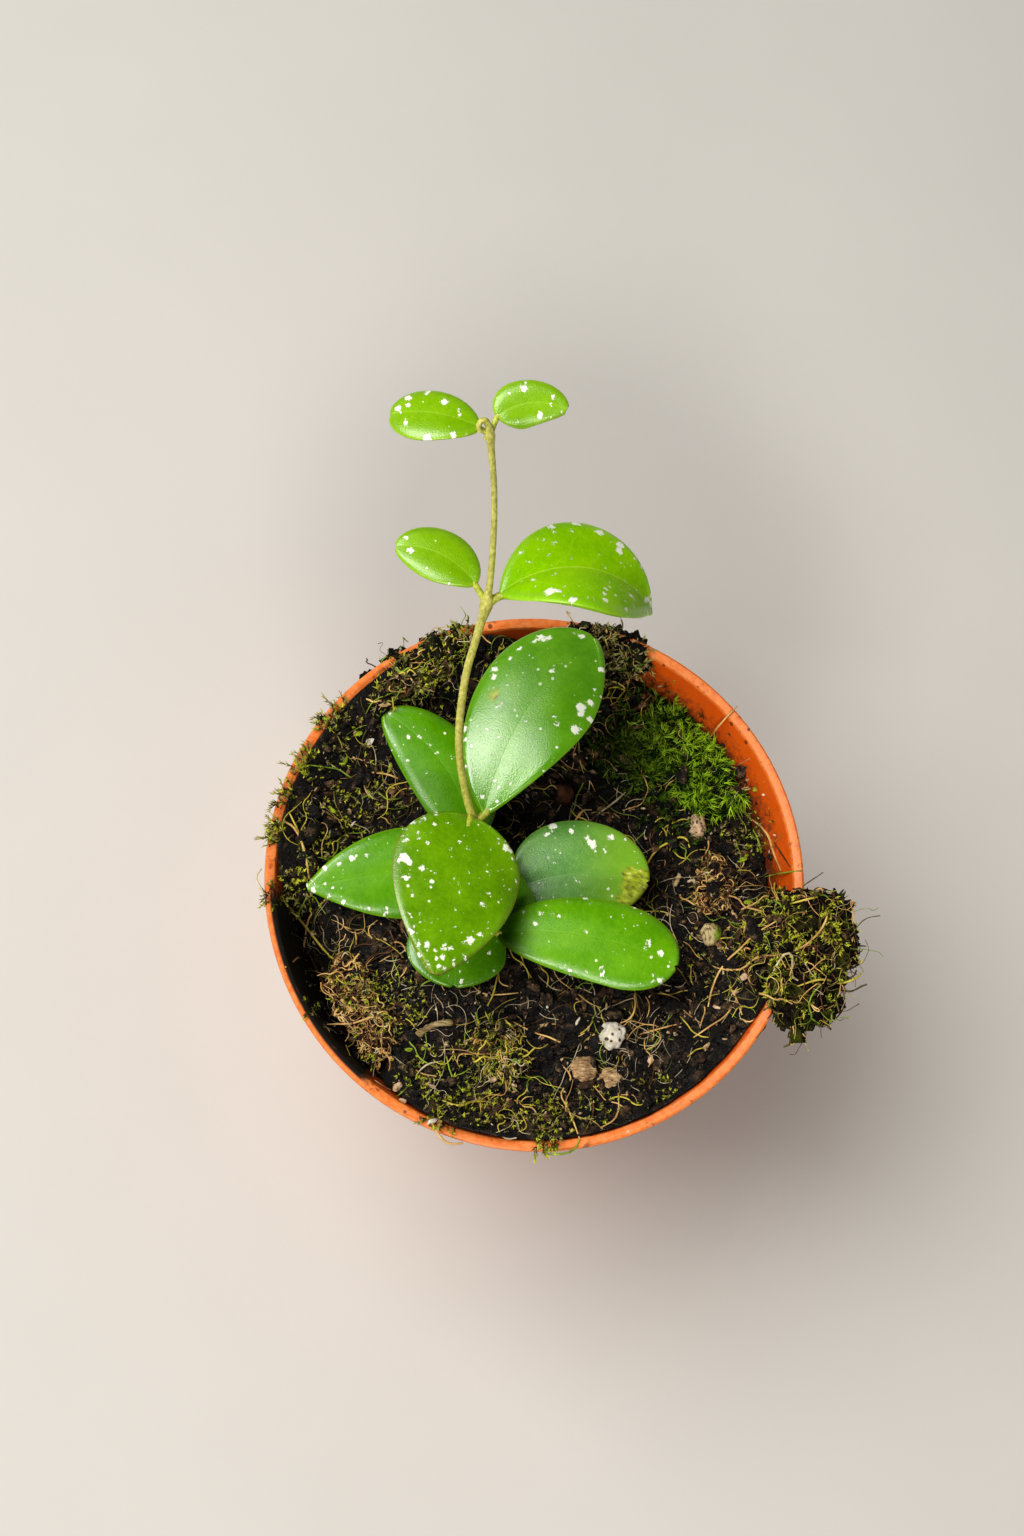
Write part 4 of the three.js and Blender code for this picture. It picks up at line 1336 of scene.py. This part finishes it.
def lay_strands():
    draw = random.Random(44)
    for colour, count in WANDERING.items():
        runs = [laid(path, ROOT_LIFT, draw.uniform(0.18, 0.26)) for path in STRANDS.get(colour, ())]
        thickest = FINE_RADIUS if colour in FINE_COLOURS else ROOT_RADIUS
        loose = [wandering(draw, draw.uniform(0.04, thickest)) for _ in range(count)]
        runs += [run for run in loose if run]
        keep(tubes("roots_" + colour, runs, STRAND_COLOURS[colour]), "coir_fibre")


lay_strands()


# Small bits that stand on their own

def refined(node, finish, cuts, amount, size, seed, name, slot, rounding=0.4):
    """A CAD solid with more faces and a broken surface."""
    bm = copy_of(node)
    bmesh.ops.subdivide_edges(bm, edges=bm.edges, cuts=cuts, use_grid_fill=True, smooth=rounding)
    roughen(bm, amount, size, seed)
    return keep(piece_from(bm, name, finish), slot, node)


perlite = stone_finish("perlite", (244, 238, 224), (212, 200, 178), (60, 50, 40), 1.25)
pale_stone = stone_finish("pale_crumb", (232, 204, 172), (176, 140, 106), (96, 70, 50), 0.9)
red_stone = stone_finish("brown_pebble", (112, 74, 54), (70, 44, 32), (30, 20, 16), 0.7)
bark_pale = bark_finish("pale_bark", (228, 200, 158), (176, 142, 104), (84, 60, 40))
bark_husk = bark_finish("husk", (226, 204, 156), (186, 156, 108), (110, 84, 54))
bark_twig = bark_finish("twig", (196, 180, 140), (150, 128, 88), (92, 72, 46))

refined("perlite_grain", perlite, 3, 0.35, 1.1, 31, "perlite_lump", "perlite")
refined("pebble", red_stone, 2, 0.25, 1.2, 33, "brown_pebble", "coir_fibre")
refined("pale_crumb", pale_stone, 3, 0.5, 1.0, 35, "broken_crumb", "perlite")
refined("seed_husk", bark_husk, 2, 0.1, 0.8, 37, "husk", "bark")
refined("bark_chip_left", bark_pale, 6, 0.8, 1.5, 38, "split_chip_left", "bark", 0.5)
refined("bark_chip_right", bark_pale, 6, 0.9, 1.4, 39, "split_chip_right", "bark", 0.5)
refined("dry_leaf_flake", husk_leaf_finish(), 5, 0.5, 1.6, 40, "curled_flake", "leaf", 0.7)

# Bits seen in the photograph, as (x, y, length, width, turn in degrees)
BITS = {
    "white_bits": [
        (-32.5, 27.9, 1.6, 1.3, 20), (-36.2, 10.9, 2.4, 0.5, 50), (48, 10.3, 0.7, 0.5, 0),
        (45.8, 18.3, 0.6, 0.5, 0), (-1.6, -20.2, 1.4, 0.6, 80), (8.6, -26.8, 1.5, 0.7, 60),
        (2.6, -23.7, 1.0, 0.6, 100), (-19.7, -46.8, 2.0, 1.0, 20),
    ],
    "stone_bits": [
        (-35.9, -29.5, 2.2, 1.5, 10), (-26.5, -40.3, 1.8, 1.3, 60), (-25.6, -43, 1.4, 1.0, 0),
        (31.8, 1.4, 1.7, 1.4, 30), (33.6, 2.9, 1.4, 1.1, 80), (40.5, -18.5, 2.0, 1.3, 40),
        (-8, -38.5, 1.6, 1.1, 10), (22.5, -34.5, 1.8, 1.2, 70), (19, -33, 1.4, 1.0, 20),
        (28.5, -31.5, 1.3, 1.0, 0), (-43, -8.5, 1.4, 1.0, 30), (12, 24, 1.4, 1.1, 0),
    ],
    "husk_bits": [
        (29, 1.8, 2.4, 0.9, 70), (40.3, -5.6, 2.2, 0.8, 120), (38.4, -8.5, 2.0, 0.8, 50),
        (14.5, -24, 1.8, 0.7, 90), (2, -27.5, 2.0, 0.7, 20), (24, -19.5, 2.2, 0.8, 140),
        (-30, 33, 2.0, 0.9, 10), (33, -32, 2.0, 0.8, 40),
    ],
    "green_bits": [
        (42.5, 6.6, 2.2, 1.2, 40), (43.1, -2.6, 1.8, 1.0, 0), (44.5, 19.9, 1.2, 1.2, 0),
        (-35.1, 28.7, 1.6, 0.9, 20), (-37.4, 23.6, 1.8, 0.9, 60), (-32.6, 17.8, 1.6, 0.8, 100),
        (-24.4, -32.8, 1.6, 0.9, 0), (-21.3, -32.3, 1.4, 0.8, 50), (-40, 14, 1.8, 0.9, 130),
        (-28.5, 23.5, 1.6, 0.8, 80), (-41.5, 31, 1.6, 0.8, 0), (-30.5, -20.5, 1.5, 0.8, 10),
    ],
}
leaf_bit = bark_finish("green_bit", (198, 206, 66), (146, 168, 40), (78, 96, 24))
BIT_LOOKS = {"white_bits": (perlite, "perlite"), "stone_bits": (pale_stone, "perlite"),
             "husk_bits": (bark_husk, "bark"), "green_bits": (leaf_bit, "moss")}


BIT_LIFT = 0.35
BIT_GROWTH = 1.15


def lay_bits():
    draw = random.Random(97)
    for name, bits in BITS.items():
        finish, slot = BIT_LOOKS[name]
        lumps = make_lumps(name + "_lump", finish, 4, 2, 0.9, 98)
        places = []
        for x, y, length, width, turn in bits:
            spot = (x, y, ground.height(x, y) + BIT_LIFT * width)
            size = (BIT_GROWTH * length, BIT_GROWTH * width, width * draw.uniform(0.5, 0.8))
            places.append((draw.choice(lumps), placing(spot, UP, math.radians(turn), size)))
        keep(set_out(name, places), slot)


lay_bits()
refined("twig", bark_twig, 2, 0.15, 0.8, 41, "bent_twig", "bark")


# Stems

class Knot(NamedTuple):
    at: tuple
    radius: float


# Stems from their roots to their tips, as (x, y, z, radius)
VINE = [
    (-10.4, 2.0, 50, 0.98), (-10.4, 2.2, 66, 0.98), (-10.5, 2.6, 79, 0.98), (-10.8, 3.9, 85, 0.9),
    (-11.1, 4.8, 87.8, 0.9), (-11.4, 5.8, 90.3, 1.35), (-11.9, 7.2, 93, 0.9), (-12.5, 9.2, 96.2, 1.4),
    (-13.3, 10.8, 99, 0.84), (-14.3, 12.9, 102.5, 0.78), (-16, 18.2, 110.5, 0.75), (-16.5, 21.6, 116, 0.74),
    (-16.4, 25.8, 122, 0.73), (-15.7, 30.6, 128.5, 0.72), (-14.6, 34.2, 133.5, 0.72),
    (-13.7, 36.9, 138, 0.76), (-13.0, 39.0, 142, 1.25), (-12.85, 40.3, 144.4, 0.64),
    (-12.7, 42.2, 148, 0.56), (-12.7, 45.6, 154, 0.54), (-12.9, 48.9, 160, 0.53),
    (-13.3, 52.2, 165.5, 0.53), (-13.8, 54.2, 169.6, 0.55), (-14.3, 56.1, 173, 0.62),
    (-14.6, 57.2, 175, 0.9), (-15.0, 58.2, 177, 0.6), (-15.9, 58.6, 178.1, 0.5), (-16.6, 57.8, 177.7, 0.46),
    (-16.3, 57.0, 176.8, 0.36),
]
CUTTING = [
    (-14.2, 3.6, 52, 0.95), (-14.2, 3.4, 68, 0.95), (-13.9, 3.0, 79.5, 0.98), (-13.3, 2.3, 82.4, 1.0),
    (-12.7, 1.6, 84.5, 1.25), (-12.4, 0.2, 86.2, 1.0), (-12.3, -1.6, 87.8, 1.35), (-12.9, -3.4, 89.4, 0.95),
    (-13.8, -5.5, 90.8, 1.25), (-14.1, -6.8, 92.0, 0.55), (-14.0, -7.9, 93.2, 0.35),
]
VINE_TOP = Knot((-14.6, 57.2, 175), 1.0)
VINE_MIDDLE = Knot((-13.0, 39.0, 142), 1.4)
VINE_UPPER = Knot((-12.5, 9.2, 96.2), 1.5)
VINE_LOWER = Knot((-11.4, 5.8, 90.3), 1.4)
CUT_LOW = Knot((-12.7, 1.6, 84.5), 1.3)
CUT_MIDDLE = Knot((-12.3, -1.6, 87.8), 1.4)
CUT_TOP = Knot((-13.8, -5.5, 90.8), 1.3)

stem_skin = stalk_finish("stem_skin", (228, 222, 128), (176, 178, 72), (140, 114, 58))
stalk_skin = stalk_finish("stalk_skin", (206, 210, 84), (152, 166, 42), (160, 142, 60))


BUDS_ON_A_KNOT = 7


def make_buds(name, knots, draw):
    """Side buds and rooting points on the nodes of a stem."""
    bm = bmesh.new()
    for knot in knots:
        for _ in range(BUDS_ON_A_KNOT):
            turn = draw.uniform(0, FULL_TURN)
            way = Vector((math.cos(turn), math.sin(turn), draw.uniform(-0.9, 0.5))).normalized()
            spot = Vector(knot.at) + way * knot.radius * 0.86
            place = placing(spot, way, 0, (1, 1, draw.uniform(1.0, 1.8)))
            size = draw.uniform(0.16, 0.34) * MM
            bmesh.ops.create_icosphere(bm, subdivisions=1, radius=size, matrix=place)
    return piece_from(bm, name, stem_skin)


def make_stem(name, run, knots, node, seed):
    draw = random.Random(seed)
    rod = tubes(name, [[(place, radius) for *place, radius in run]], stem_skin, sides=4, resolution=6)
    return keep(joined([rod, make_buds(name + "_buds", knots, draw)]), "stem", node)


make_stem("vine", VINE, [VINE_TOP, VINE_MIDDLE, VINE_UPPER, VINE_LOWER], "vine_stem", 95)
make_stem("cutting", CUTTING, [CUT_LOW, CUT_MIDDLE, CUT_TOP], "cutting_stem", 96)


# Leaves

class Leaf(NamedTuple):
    """base, heading, pitch, arch and sweep give the midrib. roll tilts the blade about it, and cup bends its
    margins down, all in degrees. flecks are (share of the length, side from -1 to 1, radius)."""
    node: str
    knot: Knot
    stalk: float
    base: tuple
    heading: float
    pitch: float
    arch: float
    sweep: float
    roll: float
    length: float
    width: float
    widest: float
    heel: float
    tip: float
    cup: float
    tint: str
    thickness: float = 1.1
    wave: float = 0.25
    fold: float = 0.0
    scatter: int = 30
    flecks: tuple = ()
    scars: tuple = ()


LEAVES = [
    Leaf("leaf_top_left", VINE_TOP, 0.5, (-16.6, 58.2, 176.2), 159, 10, -40, 22, 13, 15, 9.6, 0.6, 1.7, 2.0,
         12, "young", 0.85, 0.1, 2, 8, ((0.82, 0.75, 0.5), (0.9, 0.28, 0.6), (0.8, 0.33, 0.4),
         (0.42, 0.55, 0.7), (0.52, -0.95, 0.7), (0.23, -0.9, 0.5), (0.63, 0.85, 0.5))),
    Leaf("leaf_top_right", VINE_TOP, 0.5, (-13.4, 60.2, 176.2), 37, 16, -25, -63, 14, 12, 7.8, 0.32, 1.7,
         1.5, 29, "young", 0.85, 0.1, 3, 6, ((0.43, -0.62, 0.6), (0.62, 0.62, 0.6), (0.78, -0.45, 0.35))),
    Leaf("leaf_middle_left", VINE_MIDDLE, 0.6, (-15.2, 42.2, 143), 127, 8, -22, 54, 6, 16, 9.8, 0.5, 1.5,
         1.8, 13, "young", 0.85, 0.1, 6, 2, ((0.83, -0.3, 0.55), (0.9, 0.57, 0.4))),
    Leaf("leaf_middle_right", VINE_MIDDLE, 0.8, (-10.6, 40.3, 143.2), 34, 28, -88, -74, -30, 33.4, 22.5,
         0.47, 1.0, 0.82, -8, "bright", 1.1, 0.3, 8, 70, ((0.25, 0.72, 1.0), (0.28, 0.7, 0.6),
         (0.35, 0.92, 0.7), (0.53, 0.62, 0.45), (0.53, 0.78, 0.6), (0.68, 0.84, 0.5), (0.9, -0.05, 0.6),
         (0.67, -0.65, 0.7), (0.68, -0.82, 0.7), (0.58, -0.86, 0.7), (0.47, -0.95, 0.6),
         (0.35, -0.95, 0.6))),
    Leaf("leaf_centre_large", VINE_UPPER, 0.9, (-10.6, 10.8, 98), 78, 16, -33, -38, -9, 42.5, 23, 0.6, 1.1,
         1.55, 17, "glossy", 1.1, 0.35, 1, 60, ((0.67, 0.72, 1.0), (0.64, 0.78, 0.7), (0.72, 0.82, 0.7),
         (0.55, 0.85, 0.9), (0.65, 0.95, 0.6), (0.52, 0.57, 0.5), (0.9, 0.88, 0.6), (0.83, -0.8, 0.7),
         (0.85, -0.7, 0.6), (0.73, -0.82, 0.5), (0.6, -0.88, 0.6), (0.57, -0.8, 0.6), (0.96, -0.42, 0.5),
         (0.13, 0.3, 0.3), (0.17, -0.1, 0.2), (0.2, 0.35, 0.2), (0.1, -0.3, 0.2)), ((0.5, -0.62, 1.0),)),
    Leaf("leaf_behind_stem", VINE_LOWER, 0.8, (-12.4, 7.9, 90.6), 102, 12, -20, 48, 1, 30.5, 15, 0.4, 2.1,
         1.7, 21, "deep", 1.0, 0.25, 3, 10, ((0.78, -0.25, 0.5), (0.65, 0.05, 0.35), (0.5, 0.3, 0.35))),
    Leaf("leaf_hidden", VINE_LOWER, 0.8, (-9.6, 4.4, 91), -72, -3, -6, 22, 0, 18.5, 9.6, 0.5, 1.9, 1.9, 15,
         "deep", 1.0, 0.1, 3, 10),
    Leaf("leaf_front_large", VINE_UPPER, 0.9, (-13.5, 9.3, 100.1), -102, 23, -22, -1, -12, 32.5, 24.8, 0.32,
         2.1, 1.1, 14, "olive", 1.1, 0.3, 1, 110, ((0.38, 0.85, 0.9), (0.4, 0.77, 0.6), (0.5, 0.8, 0.6),
         (0.42, 0.57, 0.5), (0.48, 0.38, 0.5), (0.1, -0.88, 0.6), (0.12, -0.8, 0.45), (0.75, -0.65, 0.8),
         (0.7, -0.75, 0.5), (0.52, -0.5, 0.5), (0.85, 0.53, 0.6), (0.15, 0.98, 0.4))),
    Leaf("leaf_left_pointed", CUT_MIDDLE, 0.8, (-14.9, 1.6, 87.6), -178, 9, -20, 10, -7, 29.8, 17.7, 0.32,
         1.9, 0.95, 24, "middle", 1.1, 0.25, 3, 26, ((0.68, 0.62, 0.6), (0.77, 0.68, 0.5),
         (0.5, -0.8, 0.4))),
    Leaf("leaf_right_round", CUT_MIDDLE, 0.8, (-3.6, -1.5, 86.5), 23, 8, -19, -39, 4, 26.3, 21.2, 0.42, 1.9,
         1.75, 17, "blue", 1.1, 0.3, 2, 36, ((0.35, -0.93, 0.6), (0.58, -0.57, 0.7), (0.54, -0.66, 0.5),
         (0.7, -0.8, 0.6), (0.45, -0.8, 0.45)), ((0.93, 0.3, 3.4), (0.87, 0.8, 2.2), (0.85, -0.1, 1.4))),
    Leaf("leaf_right_long", CUT_TOP, 0.8, (-7.5, -11.4, 93), 5, 10, -17, -31, -3, 34.7, 16.5, 0.68, 1.8,
         2.1, 28, "long", 1.1, 0.3, 4, 30, ((0.6, 0.65, 0.5), (0.62, 0.78, 0.5), (0.82, -0.28, 0.5),
         (0.9, -0.17, 0.5), (0.95, 0.82, 0.5), (0.28, -0.55, 0.4))),
    Leaf("leaf_front_low", CUT_LOW, 0.8, (-12.9, -1.6, 84.3), -104, 2, -5, 11, -3, 19, 19.2, 0.66, 1.2, 1.7,
         11, "shade", 1.1, 0.25, 3, 12, ((0.62, -0.65, 0.4), (0.95, -0.33, 0.4), (0.85, 0.45, 0.5))),
]

TINTS = {}


def tint(name, *greens, **traits):
    TINTS[name] = leaf_finish("leaf_" + name, *greens, **traits)


tint("young", (116, 166, 0), (144, 192, 4), (190, 224, 90), (172, 210, 40), 0.25, 0.2, 0.14, gloss=0.26)
# painted light: lighter greens for leaf_middle_right, which faces away from the lamps, standing in for the
# light it catches
tint("bright", (132, 196, 0), (166, 220, 4), (204, 240, 90), (170, 214, 40), 0.6, 0.2, 0.45, gloss=0.06)
tint("deep", (74, 134, 0), (102, 162, 2), (132, 180, 60), (120, 166, 24), 0.4, gloss=0.2)
tint("glossy", (84, 148, 0), (114, 178, 2), (120, 176, 40), (128, 170, 30), 0.75, 0.1, 0.12, 0.2, 1.0,
     bare=15.0, ior=1.6)
tint("olive", (90, 138, 0), (128, 180, 2), (140, 182, 40), (130, 112, 30), 0.75, 0.2, 0.04)
tint("middle", (78, 140, 0), (112, 172, 8), (150, 196, 70), (140, 186, 40), 0.5, 0.3, gloss=0.22)
# heel=8.0 paints a shadow over the first 8 millimetres of this leaf
tint("long", (84, 148, 0), (120, 180, 8), (150, 196, 70), (140, 186, 40), 0.5, 0.3, heel=8.0)
# painted sheen: bluish-grey greens stand in for the whitish sheen on this leaf's heel half, and end turns it
# to plain green past the middle
tint("blue", (74, 128, 58), (116, 168, 76), (140, 190, 100), (120, 166, 60), 0.5, 0.4, 0.1, gloss=0.6,
     end=(136, 186, 40))
tint("shade", (68, 126, 0), (102, 158, 8), (120, 170, 50), (110, 160, 30), 0.45)

BLADE_CELL = 0.8
END_WIDTH = 0.35
ROLLED_FROM = 0.88
ROLLED_DROP = 0.32
RIB_STEPS = 60
FAR_FROM_MARKS = 3.0
STALK_INSET = 0.13


def rib_at(leaf, share):
    """The directions along, across and out of a blade at a share of its length."""
    heading = math.radians(leaf.heading + leaf.sweep * share)
    pitch = math.radians(leaf.pitch + leaf.arch * share)
    flat = math.cos(pitch)
    along = Vector((math.cos(heading) * flat, math.sin(heading) * flat, math.sin(pitch)))
    level = Vector((math.sin(heading), -math.cos(heading), 0))
    across = Matrix.Rotation(math.radians(leaf.roll), 3, along) @ level
    return along, across, across.cross(along)


def rib_points(leaf):
    points = [Vector(leaf.base)]
    for step in range(RIB_STEPS):
        along, _, _ = rib_at(leaf, (step + 0.5) / RIB_STEPS)
        points.append(points[-1] + along * leaf.length / RIB_STEPS)
    return points


def half_width(leaf, share):
    if share < leaf.widest:
        away, roundness = 1 - share / leaf.widest, leaf.heel
    else:
        away, roundness = (share - leaf.widest) / (1 - leaf.widest), leaf.tip
    return max(END_WIDTH, leaf.width / 2 * max(0.0, 1 - away * away) ** (1 / roundness))


def blade_point(leaf, points, share, side):
    """The place of a blade's middle layer, in millimetres."""
    position = share * RIB_STEPS
    low = min(int(position), RIB_STEPS - 1)
    _, across, out = rib_at(leaf, share)
    bend = math.radians(leaf.cup) / (leaf.width / 2)
    reach = side * half_width(leaf, share)
    drop = (1 - math.cos(bend * reach)) / bend
    crease = math.tan(math.radians(leaf.fold)) * (abs(reach) - abs(reach) ** 2 / (leaf.width / 2) * 0.8)
    ripple = leaf.wave * side * side * math.sin(9 * share + 2.6 * side + leaf.heading)
    groove = -0.2 * math.exp(-(reach / 1.3) ** 2) * (1 - share)
    roll = ROLLED_DROP * (max(0.0, abs(side) - ROLLED_FROM) / (1 - ROLLED_FROM)) ** 2
    return (points[low].lerp(points[low + 1], position - low) + across * (math.sin(bend * reach) / bend)
            + out * (crease + ripple + groove - drop - roll))


def mark_blade(leaf, mesh, draw):
    """Writes onto a blade's points what its finish reads: distances to rib, margin and flecks."""
    count = len(mesh.vertices)
    share, side = np.zeros(count, np.float32), np.zeros(count, np.float32)
    mesh.attributes["share"].data.foreach_get("value", share)
    mesh.attributes["side"].data.foreach_get("value", side)
    width = np.array([half_width(leaf, value) for value in share])
    reach, along = side * width, share * leaf.length
    flecks = list(leaf.flecks)
    for _ in range(leaf.scatter):
        near = 1 - draw.random() ** 1.3
        size = lerp(0.14, 0.44, draw.random() ** 2)
        flecks.append((draw.uniform(0.06, 0.97), near * draw.choice((-1, 1)), size))

    def nearest(marks):
        """How far each point lies from the rim of the nearest mark."""
        away = np.full(count, FAR_FROM_MARKS)
        for at, across, radius in marks:
            spot = across * half_width(leaf, at), at * leaf.length
            away = np.minimum(away, np.hypot(reach - spot[0], along - spot[1]) - radius)
        return away

    edge = np.minimum(width * (1 - np.abs(side)), np.minimum(share, 1 - share) * leaf.length + 0.2)
    normals = np.zeros(count * 3, np.float32)
    mesh.vertices.foreach_get("normal", normals)
    under = np.clip(-3 * normals[2::3], 0, 1)
    layers = {"reach": reach, "along": along, "edge": edge, "fleck": nearest(flecks),
              "scar": nearest(leaf.scars), "under": under}
    for name, values in layers.items():
        layer = mesh.attributes.new(name, "FLOAT", "POINT")
        layer.data.foreach_set("value", values.astype(np.float32))
    corner = np.zeros(len(mesh.loops), np.int32)
    mesh.loops.foreach_get("vertex_index", corner)
    uv = np.stack([reach[corner], along[corner]], axis=1) * MM
    mesh.uv_layers.new(name="blade").data.foreach_set("uv", uv.astype(np.float32).ravel())


def make_leaf(leaf, seed):
    draw = random.Random(seed)
    points = rib_points(leaf)
    bm = bmesh.new()
    share_layer = bm.verts.layers.float.new("share")
    side_layer = bm.verts.layers.float.new("side")
    columns = max(10, round(leaf.width / BLADE_CELL / 2) * 2)
    rows = max(16, round(leaf.length / BLADE_CELL))
    bmesh.ops.create_grid(bm, x_segments=columns, y_segments=rows, size=1)
    for vert in bm.verts:
        side = math.sin(vert.co.x * math.pi / 2)
        share = (1 - math.cos((vert.co.y + 1) * math.pi / 2)) / 2
        vert[share_layer], vert[side_layer] = share, side
        vert.co = blade_point(leaf, points, share, side) * MM
    bmesh.ops.recalc_face_normals(bm, faces=bm.faces)
    blade = piece_from(bm, leaf.node + "_blade", TINTS[leaf.tint])
    modified(blade, ("SOLIDIFY", {"thickness": leaf.thickness * MM, "offset": 0.0}),
             ("SUBSURF", {"levels": 1, "render_levels": 1}))
    blade.data.shade_smooth()
    mark_blade(leaf, blade.data, draw)

    # The stalk leaves the node, bends to the blade and runs in under its midrib
    along, _, out = rib_at(leaf, 0)
    knot = Vector(leaf.knot.at)
    start = knot + (points[0] - along - knot).normalized() * leaf.knot.radius * 0.6
    heel = points[0] - out * 0.4 * leaf.stalk
    middle = start.lerp(heel, 0.5) + out * 0.1
    inset = rib_at(leaf, STALK_INSET)[2] * (0.3 * leaf.thickness + 0.1)
    inner = blade_point(leaf, points, STALK_INSET, 0) - inset
    taper = ((start, 1.15), (middle, 0.95), (heel, 1.0), (inner, 0.45))
    run = [(place, leaf.stalk * share) for place, share in taper]
    stalk = tubes(leaf.node + "_stalk", [run], stalk_skin, sides=3, resolution=6)
    return keep(joined([blade, stalk]), "leaf", leaf.node)


for number, leaf in enumerate(LEAVES):
    make_leaf(leaf, 100 + number)


# Floor

FLOOR_SIZE = 16


def pale_finish():
    """A pale matt floor with a fine grain."""
    look = Finish("pale_floor", specular_ior_level=0.2)
    where = look.place()
    look.colour = look.mix(look.noise(where, 60.0, 3.0), (0.62, 0.6, 0.57, 1), (0.66, 0.64, 0.61, 1))
    grain = look.noise(where, 1.5, 3.0)
    return look.done(roughness=look.band(grain, 0.0, 1.0, 0.7, 0.9), normal=look.bump(grain, 0.1, 0.1))


floor_finish = pale_finish()
bm = bmesh.new()
bmesh.ops.create_grid(bm, x_segments=1, y_segments=1, size=FLOOR_SIZE / 2)
piece_from(bm, "floor", floor_finish)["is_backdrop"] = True

boxes = {"cad": cad_box, "visual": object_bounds()}
{name: [list(corner) for corner in box] for name, box in boxes.items()}
